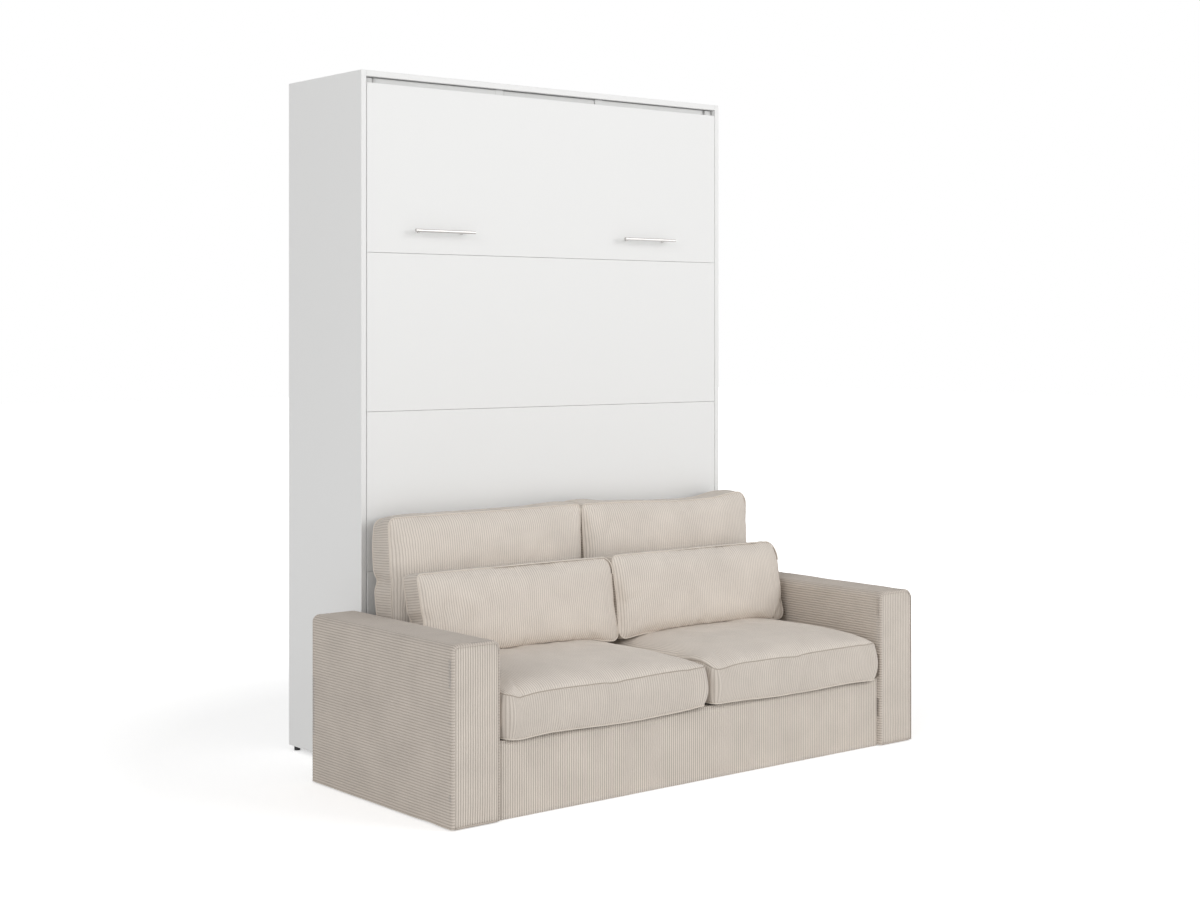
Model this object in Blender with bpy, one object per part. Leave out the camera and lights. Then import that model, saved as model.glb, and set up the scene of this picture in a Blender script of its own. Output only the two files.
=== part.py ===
"""A vertical double wall bed with a two-seat sofa in front of it, closed, in metres, +Z up.

The cabinet's front is the plane y = 0 of the empty called wall_bed, the wall is behind it at +Y and the
sofa stands in front of it at -Y. The bed turns about an X axis near the floor: its top comes forward and
down by 90 degrees, over the seat and between the arms. Everything is symmetric about x = 0.
"""

import math

import bmesh
import bpy
import numpy as np
from mathutils import Matrix, Vector
from mathutils.bvhtree import BVHTree

# Fits shared by all pieces
TOUCH_GAP = 0.0003  # between pieces that touch
RUNNING_GAP = 0.0001  # on the radius, between a pin and its hole
OVERRUN = 0.010  # how far a cutter runs past what it cuts
WELD_DEPTH = 0.002  # how far a joined shape sinks into the one that carries it

# Cabinet
CABINET_WIDTH = 1.500
CABINET_HEIGHT = 2.175
CABINET_DEPTH = 0.445
PANEL_THICKNESS = 0.018
BOARD_EASE = 0.0008  # softened edge of every board
GLIDE_HEIGHT = 0.012
GLIDE_RADIUS = 0.010
GLIDE_INSET = 0.038  # from the front and rear edges of a side panel
PLINTH_HEIGHT = 0.100
BOTTOM_BOARD_RAISE = 0.020  # above the lower edges of the side panels
WALL_RAIL_HEIGHT = 0.200
HEADBOARD_BASE = 0.800
HEADBOARD_HEIGHT = 0.300

# Bed front
BED_SIDE_GAP = 0.0034
BED_TOP_GAP = 0.020
BED_BOTTOM_GAP = 0.012
LOWER_BOARD_HEIGHT = 0.4955  # of the three lower boards, the top board takes the rest
SEAM_GAP = 0.0008

# Bed frame and mattress
FRAME_INSET = 0.0286  # from the side edges of the bed front to the frame
RAIL_WIDTH = 0.040
RAIL_DEPTH = 0.040
BEAM_DEPTH = 0.034
SLAT_COUNT = 10
SLAT_WIDTH = 0.070
SLAT_THICKNESS = 0.008
SLAT_END_GAP = 0.004  # from a slat's end to the frame's outer side
SLAT_EASE = 0.003
MATTRESS_END_MARGIN = 0.0065
MATTRESS_THICKNESS = 0.150
MATTRESS_CROWN = 0.008
MATTRESS_BULGE = 0.004
MATTRESS_CORNER = 0.060
STRAP_WIDTH = 0.050
STRAP_THICKNESS = 0.002
STRAP_DROP = 0.537  # from the top of the closed bed front down to the strap's middle

# Pivots
PIVOT_HEIGHT = 0.490
PIVOT_SETBACK = 0.040  # behind the face of the bed front
BOLT_RADIUS = 0.006
BOSS_RADIUS = 0.014
PIVOT_PLATE_WIDTH = 0.056
PIVOT_PLATE_HEIGHT = 0.160
PLATE_THICKNESS = 0.002
PLATE_CORNER = 0.010
ARM_PLATE_THICKNESS = 0.006
ARM_PLATE_RADIUS = 0.021

# Gas struts
STRUT_TOP_HEIGHT = 1.100
STRUT_TOP_SETBACK = 0.135  # behind the cabinet's front
STRUT_ARM = 0.180  # from the pivot down to the strut's stud on the closed bed
STRUT_STUD_SETBACK = 0.020  # behind the pivot on the closed bed
STUD_RADIUS = 0.004
CYLINDER_RADIUS = 0.010
CYLINDER_REACH = 0.420  # from the upper stud to the cylinder's open end
CYLINDER_BORE_LENGTH = 0.245
ROD_RADIUS = 0.004
ROD_LENGTH = 0.400
EYE_RADIUS = 0.009
EYE_THICKNESS = 0.008
EYE_NECK = 0.022  # from an eye's centre to the cylinder's cap
STUD_SIDE_GAP = 0.001  # between the bed's stud and the rod's eye, beside each other
BRACKET_THICKNESS = 0.003
BRACKET_WIDTH = 0.040
BRACKET_HEIGHT = 0.070

# Handles
HANDLE_LENGTH = 0.228
HANDLE_CENTRES = 0.165
HANDLE_RADIUS = 0.005
HANDLE_REACH = 0.034  # from the bed front to the bar's axis
HANDLE_OFFSET = 0.428  # of each handle from the middle of the pair
HANDLE_PAIR_SHIFT = 0.029  # of the pair to the left, from the middle of the bed front
HANDLE_RAISE = 0.0715  # above the top seam
POST_RADIUS = 0.004
POST_FOOT_RADIUS = 0.007
POST_FOOT_HEIGHT = 0.003

# Turn-out legs
LEG_THICKNESS = 0.017
LEG_FLOOR_GAP = 0.003
KEEPER_GAP = 0.002  # between the legs' tips and the block between them
LEG_CAP_LENGTH = 0.030
LEG_CAP_LIP = 0.0012
LEG_PIN_RADIUS = 0.006
LEG_PIN_HEAD_RADIUS = 0.011
LEG_PIN_HEAD_HEIGHT = 0.0012

# Guide blocks on the frame's upper corners, which centre the closing bed between the cabinet's sides
GUIDE_SIDE_GAP = 0.001  # in from the side edges of the bed front
GUIDE_HEIGHT = 0.040  # below the top of the bed front
GUIDE_DEPTH = 0.024

# Sofa
SOFA_WIDTH = 1.850
ARM_THICKNESS = 0.150
ARM_HEIGHT = 0.498
ARM_REACH = 0.757  # from the cabinet's front to the arm's front
ARM_REAR_GAP = 0.010
ARM_CORNER = 0.020  # of the arm's outline from the front
ARM_ROUNDING = 0.006  # of the edges round its front and rear
FRONT_PANEL_RECESS = 0.014
FRONT_PANEL_THICKNESS = 0.030
FRONT_PANEL_ROUNDING = 0.009
SEAT_DECK_TOP = 0.222
SEAT_DECK_THICKNESS = 0.030
SOFA_RAIL_THICKNESS = 0.018

# Cushions
CUSHION_SIDE_GAP = 0.003  # between neighbours
SEAT_ARM_GAP = 0.0015
SEAT_OVERHANG = 0.028  # past the front panel
SEAT_REAR_GAP = 0.015
SEAT_BOXING = 0.120
SEAT_CROWN = 0.043
SEAT_BULGE = 0.007
SEAT_CORNER = 0.045
BACK_WIDTH = 0.738
BACK_HEIGHT = 0.421
BACK_BOXING = 0.104
BACK_CROWNS = (0.038, 0.052)  # in front and behind
BACK_BULGE = 0.007
BACK_CORNER = 0.035
BACK_LEAN = math.radians(3.0)
LUMBAR_WIDTH = 0.743
LUMBAR_HEIGHT = 0.261
LUMBAR_BOXING = 0.072
LUMBAR_CROWNS = (0.034, 0.044)
LUMBAR_BULGE = 0.007
LUMBAR_CORNER = 0.030
LUMBAR_LEAN = math.radians(8.8)
CUSHION_DRAW = 0.004  # how far a seam pulls in between the corners
CUSHION_RIDE = 0.0012  # above the highest line of the seat
CUSHION_TOUCH = 0.0006  # between cushions that lean on each other

# Counts of faces
CUSHION_ACROSS = 14
CUSHION_ALONG = 12
BOXING_RINGS = 4
ARM_CORNER_SIDES = 5
CIRCLE_SIDES = 24
SMALL_CIRCLE_SIDES = 16
CROWN_POWER = 4.5

# Sizes that follow from those above
half_width = CABINET_WIDTH / 2
half_inside = half_width - PANEL_THICKNESS
half_bed = half_inside - BED_SIDE_GAP
half_frame = half_bed - FRAME_INSET
side_foot = GLIDE_HEIGHT
bed_base = GLIDE_HEIGHT + PLINTH_HEIGHT + BED_BOTTOM_GAP
bed_head = CABINET_HEIGHT - PANEL_THICKNESS - BED_TOP_GAP
frame_front = PANEL_THICKNESS + TOUCH_GAP
frame_back = frame_front + RAIL_DEPTH
frame_base = bed_base + MATTRESS_END_MARGIN
slat_front = frame_back + TOUCH_GAP
slat_back = slat_front + SLAT_THICKNESS
mattress_front = slat_back + TOUCH_GAP
top_seam = bed_base + 3 * LOWER_BOARD_HEIGHT
strut_x = (half_inside + half_frame) / 2
half_seat = SOFA_WIDTH / 2 - ARM_THICKNESS
panel_face = ARM_REACH - FRONT_PANEL_RECESS
seat_reach = panel_face + SEAT_OVERHANG
rail_face = SOFA_RAIL_THICKNESS + TOUCH_GAP

SIDES = (("left", -1), ("right", 1))


def material(name, colour, roughness, metallic=0.0):
    """A plain Principled BSDF finish."""
    made = bpy.data.materials.new(name)
    made.use_nodes = True
    shader = made.node_tree.nodes["Principled BSDF"]
    shader.inputs["Base Color"].default_value = (*colour, 1.0)
    shader.inputs["Roughness"].default_value = roughness
    shader.inputs["Metallic"].default_value = metallic
    return made


def empty(name, place, parent=None):
    """An empty at a place given in the frame of wall_bed."""
    made = bpy.data.objects.new(name, None)
    bpy.context.collection.objects.link(made)
    made.parent = parent
    made.location = Vector(place) - origin_of(parent)
    made["origin"] = list(place)
    return made


def origin_of(parent):
    """Where a parent's axes stand in the frame of wall_bed."""
    if parent is None or "origin" not in parent:
        return Vector((0, 0, 0))
    return Vector(parent["origin"])


def add(name, mesh, finish, parent, place):
    """One object whose origin is at a place given in the frame of wall_bed."""
    made = bpy.data.objects.new(name, mesh)
    bpy.context.collection.objects.link(made)
    made.parent = parent
    made.location = Vector(place) - origin_of(parent)
    if finish:
        mesh.materials.append(finish)
    return made


def finished(shape, name, smooth=False):
    """The mesh of a bmesh, facing outwards, with its round sides smooth."""
    bmesh.ops.recalc_face_normals(shape, faces=shape.faces)
    mesh = bpy.data.meshes.new(name)
    shape.to_mesh(mesh)
    shape.free()
    if smooth:
        mesh.shade_smooth()
        mesh.set_sharp_from_angle(angle=math.radians(35))
    return mesh


def bevelled(made, width, segments=1):
    """A bevel on every edge, as eased boards and upholstered boxes have."""
    bevel = made.modifiers.new("eased edges", "BEVEL")
    bevel.width = width
    bevel.segments = segments
    return made


def board(name, low, high, finish, parent, ease=None, segments=1):
    """A box between two corners, its edges eased, with its origin at its middle."""
    low, high = Vector(low), Vector(high)
    shape = bmesh.new()
    bmesh.ops.create_cube(shape, size=1.0)
    bmesh.ops.scale(shape, vec=high - low, verts=shape.verts)
    made = add(name, finished(shape, name), finish, parent, (low + high) / 2)
    return bevelled(made, ease or BOARD_EASE, segments)


def round_bar(name, start, end, radius, finish=None, parent=None, sides=CIRCLE_SIDES, place=None):
    """A cylinder from one point to another."""
    start, end = Vector(start), Vector(end)
    place = start if place is None else Vector(place)
    shape = bmesh.new()
    length = (end - start).length
    bmesh.ops.create_cone(
        shape, cap_ends=True, segments=sides, radius1=radius, radius2=radius, depth=length
    )
    turn = Vector((0, 0, 1)).rotation_difference(end - start).to_matrix().to_4x4()
    move = Matrix.Translation((start + end) / 2 - place)
    bmesh.ops.transform(shape, matrix=move @ turn, verts=shape.verts)
    return add(name, finished(shape, name, smooth=True), finish, parent, place)


def plate(name, outline, x_low, x_high, finish, parent, place):
    """An outline of (y, z) points about a place, with its thickness along X."""
    shape = bmesh.new()
    points = [shape.verts.new((x_low - place[0], y, z)) for y, z in outline]
    face = shape.faces.new(points)
    made = bmesh.ops.extrude_face_region(shape, geom=[face])
    moved = [item for item in made["geom"] if isinstance(item, bmesh.types.BMVert)]
    bmesh.ops.translate(shape, vec=(x_high - x_low, 0, 0), verts=moved)
    return add(name, finished(shape, name, smooth=True), finish, parent, place)


def arc(centre, radius, start, end, sides=CIRCLE_SIDES // 2):
    """Points of an arc, by its angles in degrees."""
    angles = np.radians(np.linspace(start, end, sides + 1))
    return [(centre[0] + radius * math.cos(a), centre[1] + radius * math.sin(a)) for a in angles]


def rounded_rectangle(width, height, corner, sides=3):
    """The outline of a rectangle with round corners about its middle."""
    outline = []
    for sign_y, sign_z, start in ((1, 1, 0), (-1, 1, 90), (-1, -1, 180), (1, -1, 270)):
        centre = (sign_y * (width / 2 - corner), sign_z * (height / 2 - corner))
        outline += arc(centre, corner, start, start + 90, sides)
    return outline


def capsule(start, end, radius):
    """The outline round two circles of one radius."""
    angle = math.degrees(math.atan2(end[1] - start[1], end[0] - start[0]))
    return arc(end, radius, angle - 90, angle + 90) + arc(start, radius, angle + 90, angle + 270)


def combine(made, other, operation):
    """Adds a hidden helper to a piece, or cuts it out of the piece."""
    other.hide_render = True
    other.display_type = "WIRE"
    change = made.modifiers.new(operation.lower() + " " + other.name, "BOOLEAN")
    change.operation = operation
    change.solver = "EXACT"
    change.object = other
    return made


def panels(root, white, black):
    """The cabinet: two sides, top, bottom board, plinth and three rails across the back."""
    inside = half_inside - TOUCH_GAP
    board_base = side_foot + BOTTOM_BOARD_RAISE
    board_top = board_base + PANEL_THICKNESS
    rail_front = CABINET_DEPTH - PANEL_THICKNESS
    top_under = CABINET_HEIGHT - PANEL_THICKNESS
    for side, sign in SIDES:
        edges = sorted((sign * half_inside, sign * half_width))
        board(
            "cabinet_side_" + side,
            (edges[0], 0, side_foot),
            (edges[1], CABINET_DEPTH, CABINET_HEIGHT),
            white,
            root,
        )
        for end, y in (("front", GLIDE_INSET), ("rear", CABINET_DEPTH - GLIDE_INSET)):
            x = sign * (half_width - GLIDE_RADIUS)
            round_bar(
                "glide_foot_" + end + "_" + side,
                (x, y, 0),
                (x, y, side_foot - TOUCH_GAP),
                GLIDE_RADIUS,
                black,
                root,
            )
    spans = {
        "cabinet_top_board": (0, CABINET_DEPTH, top_under, CABINET_HEIGHT),
        "cabinet_bottom_board": (PANEL_THICKNESS + TOUCH_GAP, CABINET_DEPTH, board_base, board_top),
        "plinth_rail": (0, PANEL_THICKNESS, side_foot, side_foot + PLINTH_HEIGHT),
        "low_back_rail": (
            rail_front,
            CABINET_DEPTH,
            board_top + TOUCH_GAP,
            board_top + WALL_RAIL_HEIGHT,
        ),
        "headboard_panel": (
            rail_front,
            CABINET_DEPTH,
            HEADBOARD_BASE,
            HEADBOARD_BASE + HEADBOARD_HEIGHT,
        ),
        "top_wall_rail": (
            rail_front,
            CABINET_DEPTH,
            top_under - WALL_RAIL_HEIGHT,
            top_under - TOUCH_GAP,
        ),
    }
    for name, (front, back, base, top) in spans.items():
        board(name, (-inside, front, base), (inside, back, top), white, root)


def pivots(root, bed, steel):
    """A plate and a shoulder bolt on each cabinet side, and the bed's arm with its boss and stud."""
    axis = (0, PIVOT_SETBACK, PIVOT_HEIGHT)
    plate_face = half_inside - TOUCH_GAP - PLATE_THICKNESS
    arm_face = half_frame + TOUCH_GAP
    boss_face = plate_face - TOUCH_GAP
    bore = BOLT_RADIUS + RUNNING_GAP
    stud = (STRUT_STUD_SETBACK, -STRUT_ARM)
    stud_end = strut_x - EYE_THICKNESS / 2 - STUD_SIDE_GAP
    for side, sign in SIDES:
        place = (0, axis[1], axis[2])

        def at(x, y=0.0, z=0.0):
            return (sign * x, axis[1] + y, axis[2] + z)

        fixed = plate(
            "pivot_plate_" + side,
            rounded_rectangle(PIVOT_PLATE_WIDTH, PIVOT_PLATE_HEIGHT, PLATE_CORNER),
            sign * plate_face,
            sign * (half_inside - TOUCH_GAP),
            steel,
            root,
            place,
        )
        hole = round_bar(
            "pivot_plate_hole_" + side, at(plate_face - OVERRUN), at(half_inside + OVERRUN), bore
        )
        combine(fixed, hole, "DIFFERENCE")
        hole.parent = root
        round_bar(
            "pivot_bolt_" + side,
            at(half_inside - TOUCH_GAP),
            at(arm_face + TOUCH_GAP),
            BOLT_RADIUS,
            steel,
            root,
        )
        moving = plate(
            "pivot_arm_" + side,
            capsule((0, 0), stud, ARM_PLATE_RADIUS),
            sign * arm_face,
            sign * (arm_face + ARM_PLATE_THICKNESS),
            steel,
            bed,
            place,
        )
        inner = arm_face + ARM_PLATE_THICKNESS - WELD_DEPTH
        boss = round_bar("pivot_boss_" + side, at(inner), at(boss_face), BOSS_RADIUS)
        peg = round_bar(
            "strut_stud_" + side, at(inner, *stud), at(stud_end, *stud), STUD_RADIUS
        )
        drill = round_bar(
            "pivot_bore_" + side, at(arm_face - OVERRUN), at(boss_face + OVERRUN), bore
        )
        for helper, operation in ((boss, "UNION"), (peg, "UNION"), (drill, "DIFFERENCE")):
            helper.parent = root
            combine(moving, helper, operation)


def strut_ends():
    """The upper stud and the closed and lowered lower studs, as (y, z)."""
    top = (STRUT_TOP_SETBACK, STRUT_TOP_HEIGHT)
    closed = (PIVOT_SETBACK + STRUT_STUD_SETBACK, PIVOT_HEIGHT - STRUT_ARM)
    lowered = (PIVOT_SETBACK + STRUT_ARM, PIVOT_HEIGHT + STRUT_STUD_SETBACK)
    return Vector(top), Vector(closed), Vector(lowered)


def eye(name, x, centre, neck_end, root):
    """A flat eye about a stud, with a neck towards its rod or cylinder, before its hole is cut."""
    ring = round_bar(
        name + "_ring",
        (x - EYE_THICKNESS / 2, *centre),
        (x + EYE_THICKNESS / 2, *centre),
        EYE_RADIUS,
    )
    neck = round_bar(
        name + "_neck", (x, *centre), (x, *neck_end), EYE_THICKNESS / 2, sides=SMALL_CIRCLE_SIDES
    )
    hole = round_bar(
        name + "_hole",
        (x - EYE_THICKNESS, *centre),
        (x + EYE_THICKNESS, *centre),
        STUD_RADIUS + RUNNING_GAP,
    )
    for helper in (ring, neck, hole):
        helper.parent = root
    return ring, neck, hole


def struts(root, steel, dark):
    """Each gas strut: a bracket on the cabinet side, a bored cylinder and the rod that runs in it."""
    top, closed, _ = strut_ends()
    along = (closed - top).normalized()
    bracket_face = half_inside - TOUCH_GAP - BRACKET_THICKNESS
    for side, sign in SIDES:
        x = sign * strut_x

        def point(distance, from_end=False):
            spot = (closed if from_end else top) + along * distance
            return (x, spot[0], spot[1])

        bracket = plate(
            "strut_bracket_" + side,
            rounded_rectangle(BRACKET_WIDTH, BRACKET_HEIGHT, PLATE_CORNER),
            sign * bracket_face,
            sign * (half_inside - TOUCH_GAP),
            steel,
            root,
            (0, *top),
        )
        stud = round_bar(
            "bracket_stud_" + side,
            (sign * (bracket_face + WELD_DEPTH), *top),
            (sign * (strut_x - EYE_THICKNESS / 2), *top),
            STUD_RADIUS,
        )
        stud.parent = root
        combine(bracket, stud, "UNION")

        cylinder = round_bar(
            "strut_cylinder_" + side,
            point(EYE_NECK),
            point(CYLINDER_REACH),
            CYLINDER_RADIUS,
            dark,
            root,
            place=point(0),
        )
        ring, neck, hole = eye(
            "cylinder_eye_" + side, x, top, point(EYE_NECK + WELD_DEPTH)[1:], root
        )
        bore = round_bar(
            "cylinder_bore_" + side,
            point(CYLINDER_REACH - CYLINDER_BORE_LENGTH),
            point(CYLINDER_REACH + OVERRUN),
            ROD_RADIUS + RUNNING_GAP,
        )
        bore.parent = root
        for helper, operation in (
            (neck, "UNION"),
            (ring, "UNION"),
            (hole, "DIFFERENCE"),
            (bore, "DIFFERENCE"),
        ):
            combine(cylinder, helper, operation)

        rod = round_bar(
            "strut_rod_" + side,
            point(-EYE_RADIUS / 2, True),
            point(-ROD_LENGTH, True),
            ROD_RADIUS,
            steel,
            root,
            place=point(0, True),
        )
        ring, neck, hole = eye("rod_eye_" + side, x, closed, point(-EYE_NECK, True)[1:], root)
        bpy.data.objects.remove(neck)
        combine(rod, ring, "UNION")
        combine(rod, hole, "DIFFERENCE")


def bed_front(bed, white):
    """Four flush boards across the bed front, with thin seams between them."""
    names = ("bottom", "lower", "upper", "top")
    for level, name in enumerate(names):
        base = bed_base + level * LOWER_BOARD_HEIGHT
        top = bed_head if name == "top" else base + LOWER_BOARD_HEIGHT - SEAM_GAP
        board(
            "bed_front_" + name,
            (-half_bed, 0, base),
            (half_bed, PANEL_THICKNESS, top),
            white,
            bed,
        )


def bed_frame(bed, steel, birch):
    """The steel frame behind the bed front, with its leg pins and guide blocks, the centre beam and the slats."""
    inner = half_frame - RAIL_WIDTH
    leg_axis = (half_frame - RAIL_WIDTH / 2, frame_front + RAIL_DEPTH / 2)
    for side, sign in SIDES:
        edges = sorted((sign * inner, sign * half_frame))
        rail = board(
            "bed_rail_" + side,
            (edges[0], frame_front, frame_base),
            (edges[1], frame_back, bed_head),
            steel,
            bed,
            BOARD_EASE,
        )
        above_leg = bed_head + 2 * TOUCH_GAP + LEG_THICKNESS
        pin_x = sign * leg_axis[0]
        pin = round_bar(
            "leg_pin_" + side,
            (pin_x, leg_axis[1], bed_head - WELD_DEPTH),
            (pin_x, leg_axis[1], above_leg + LEG_PIN_HEAD_HEIGHT),
            LEG_PIN_RADIUS,
        )
        head = round_bar(
            "leg_pin_head_" + side,
            (pin_x, leg_axis[1], above_leg),
            (pin_x, leg_axis[1], above_leg + LEG_PIN_HEAD_HEIGHT),
            LEG_PIN_HEAD_RADIUS,
        )
        guides = []
        for part, start, base, top in (
            ("foot", half_frame - WELD_DEPTH, bed_head - GUIDE_HEIGHT, bed_head),
            ("stop", half_frame + TOUCH_GAP, bed_head - WELD_DEPTH, above_leg - TOUCH_GAP),
        ):
            reach = sorted((sign * start, sign * (half_bed - GUIDE_SIDE_GAP)))
            low = Vector((reach[0], frame_front, base))
            high = Vector((reach[1], frame_front + GUIDE_DEPTH, top))
            shape = bmesh.new()
            bmesh.ops.create_cube(shape, size=1.0)
            bmesh.ops.scale(shape, vec=high - low, verts=shape.verts)
            name = "guide_" + part + "_" + side
            guides.append(add(name, finished(shape, name), None, None, (low + high) / 2))
        for helper in (pin, head, *guides):
            helper.parent = bed.parent
            combine(rail, helper, "UNION")
    across = inner - TOUCH_GAP
    for name, base in (("head", frame_base), ("foot", bed_head - RAIL_WIDTH)):
        board(
            "bed_" + name + "_rail",
            (-across, frame_front, base),
            (across, frame_back, base + RAIL_WIDTH),
            steel,
            bed,
        )
    tip = half_frame - RAIL_WIDTH / 2 - leg_reach() - LEG_CAP_LIP - KEEPER_GAP
    keeper = board(
        "leg_keeper",
        (-tip, frame_front + WELD_DEPTH, bed_head - WELD_DEPTH),
        (tip, frame_back - WELD_DEPTH, bed_head + TOUCH_GAP + LEG_THICKNESS),
        None,
        bed.parent,
    )
    combine(bpy.data.objects["bed_foot_rail"], keeper, "UNION")
    board(
        "centre_beam",
        (-RAIL_WIDTH / 2, frame_front, frame_base + RAIL_WIDTH + TOUCH_GAP),
        (RAIL_WIDTH / 2, frame_back, bed_head - RAIL_WIDTH - TOUCH_GAP),
        steel,
        bed,
    )
    half_slat = half_frame - SLAT_END_GAP
    free = bed_head - frame_base - SLAT_COUNT * SLAT_WIDTH
    pitch = SLAT_WIDTH + free / SLAT_COUNT
    for index in range(SLAT_COUNT):
        base = frame_base + free / SLAT_COUNT / 2 + index * pitch
        board(
            f"slat_{index + 1:02d}",
            (-half_slat, slat_front, base),
            (half_slat, slat_back, base + SLAT_WIDTH),
            birch,
            bed,
            SLAT_EASE,
        )


def handles(bed, bright):
    """Two bar handles on the top board, each a bar on two posts with round feet."""
    height = top_seam + HANDLE_RAISE
    for side, sign in SIDES:
        middle = sign * HANDLE_OFFSET - HANDLE_PAIR_SHIFT
        half = HANDLE_LENGTH / 2
        bar = round_bar(
            "handle_" + side,
            (middle - half, -HANDLE_REACH, height),
            (middle + half, -HANDLE_REACH, height),
            HANDLE_RADIUS,
            bright,
            bed,
            SMALL_CIRCLE_SIDES,
        )
        for end in (-1, 1):
            x = middle + end * HANDLE_CENTRES / 2
            post = round_bar(
                f"handle_post_{side}_{end}",
                (x, -TOUCH_GAP, height),
                (x, -HANDLE_REACH, height),
                POST_RADIUS,
                sides=SMALL_CIRCLE_SIDES,
            )
            foot = round_bar(
                f"handle_foot_{side}_{end}",
                (x, -TOUCH_GAP, height),
                (x, -TOUCH_GAP - POST_FOOT_HEIGHT, height),
                POST_FOOT_RADIUS,
                sides=SMALL_CIRCLE_SIDES,
            )
            for helper in (post, foot):
                helper.parent = bed.parent
                combine(bar, helper, "UNION")


def leg_reach():
    """From a leg's pin to its tip, for a leg that stands just clear of the floor when the bed is down."""
    axis_y = frame_front + RAIL_DEPTH / 2
    return PIVOT_HEIGHT - PIVOT_SETBACK + axis_y - LEG_FLOOR_GAP


def legs(bed, steel, black):
    """Two flat legs along the foot end, each on a pin by its side rail, reaching to the floor when down."""
    axis_x = half_frame - RAIL_WIDTH / 2
    axis_y = frame_front + RAIL_DEPTH / 2
    base = bed_head + TOUCH_GAP
    reach = leg_reach()
    hub = RAIL_DEPTH / 2
    for side, sign in SIDES:
        outline = arc((0, 0), hub, -90, 90) + [(-reach, hub), (-reach, -hub)]
        shape = bmesh.new()
        points = [shape.verts.new((sign * x, y, 0)) for x, y in outline]
        face = shape.faces.new(points)
        grown = bmesh.ops.extrude_face_region(shape, geom=[face])
        moved = [item for item in grown["geom"] if isinstance(item, bmesh.types.BMVert)]
        bmesh.ops.translate(shape, vec=(0, 0, LEG_THICKNESS), verts=moved)
        name = "turn_out_leg_" + side
        place = (sign * axis_x, axis_y, base)
        leg = add(name, finished(shape, name, smooth=True), steel, bed, place)
        leg.data.materials.append(black)
        hole = round_bar(
            "leg_hole_" + side,
            (place[0], axis_y, base - OVERRUN),
            (place[0], axis_y, base + LEG_THICKNESS + OVERRUN),
            LEG_PIN_RADIUS + RUNNING_GAP,
        )
        hole.parent = bed.parent
        combine(leg, hole, "DIFFERENCE")
        cap_edges = sorted(
            (sign * (axis_x - reach + LEG_CAP_LENGTH), sign * (axis_x - reach - LEG_CAP_LIP))
        )
        cap = board(
            "leg_cap_" + side,
            (cap_edges[0], axis_y - hub - LEG_CAP_LIP, base + LEG_CAP_LIP),
            (cap_edges[1], axis_y + hub + LEG_CAP_LIP, base + LEG_THICKNESS + LEG_CAP_LIP),
            None,
            None,
        )
        cap.parent = bed.parent
        combine(leg, cap, "UNION")


def cushion_points(width, height, boxing, crowns, corner, bulge, draw):
    """Points and faces of a boxed cushion about its middle, upright, its front face towards +w.

    Each face is a grid whose outline is a rounded rectangle that draws in between its corners, raised to a
    crown by (1 - |u|^p)(1 - |v|^p). The boxing between the two seams swells outwards by a half sine.
    """
    across, along = CUSHION_ACROSS, CUSHION_ALONG
    half_u, half_v = width / 2 - bulge, height / 2 - bulge
    u, v = np.meshgrid(np.linspace(-1, 1, across + 1), np.linspace(-1, 1, along + 1), indexing="ij")
    spread_u, spread_v = np.sin(u * math.pi / 2), np.sin(v * math.pi / 2)
    share = 0.35  # of the even spacing that gives way to one that is closer at the edges
    u, v = u + share * (spread_u - u), v + share * (spread_v - v)
    x, z = half_u * u, half_v * v
    past_x = np.maximum(np.abs(x) - (half_u - corner), 0)
    past_z = np.maximum(np.abs(z) - (half_v - corner), 0)
    reach = np.hypot(past_x, past_z)
    pull = np.where(reach > 0, np.maximum(past_x, past_z) / np.maximum(reach, 1e-9), 1)
    x = np.sign(x) * (np.minimum(np.abs(x), half_u - corner) + past_x * pull)
    z = np.sign(z) * (np.minimum(np.abs(z), half_v - corner) + past_z * pull)
    x = x - draw * np.sign(x) * np.abs(u) ** 4 * (1 - v**2)
    z = z - draw * np.sign(z) * np.abs(v) ** 4 * (1 - u**2)
    swell = (1 - np.abs(u) ** CROWN_POWER) * (1 - np.abs(v) ** CROWN_POWER)
    front = np.stack([x, z, boxing / 2 + crowns[0] * swell], -1).reshape(-1, 3)
    rear = np.stack([x, z, -boxing / 2 - crowns[1] * swell], -1).reshape(-1, 3)

    index = np.arange((across + 1) * (along + 1)).reshape(across + 1, along + 1)
    loop = np.concatenate([index[:-1, 0], index[-1, :-1], index[:0:-1, -1], index[0, :0:-1]])
    edge = front[loop]
    ahead, behind = np.roll(edge, -1, 0), np.roll(edge, 1, 0)
    normal = np.stack([ahead[:, 1] - behind[:, 1], behind[:, 0] - ahead[:, 0]], -1)
    normal /= np.linalg.norm(normal, axis=1, keepdims=True)
    rings, points, faces = [loop], [front], []
    count = len(front)
    for ring in range(1, BOXING_RINGS):
        part = ring / BOXING_RINGS
        level = edge.copy()
        level[:, :2] += normal * bulge * math.sin(math.pi * part)
        level[:, 2] = boxing * (0.5 - part)
        points.append(level)
        rings.append(np.arange(count, count + len(loop)))
        count += len(loop)
    points.append(rear)
    rings.append(loop + count)
    quads = np.stack([index[:-1, :-1], index[1:, :-1], index[1:, 1:], index[:-1, 1:]], -1).reshape(-1, 4)
    faces += quads.tolist() + (quads[:, ::-1] + count).tolist()
    for upper, lower in zip(rings, rings[1:]):
        faces += np.stack([upper, lower, np.roll(lower, -1), np.roll(upper, -1)], -1).tolist()
    return np.concatenate(points), faces


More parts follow.
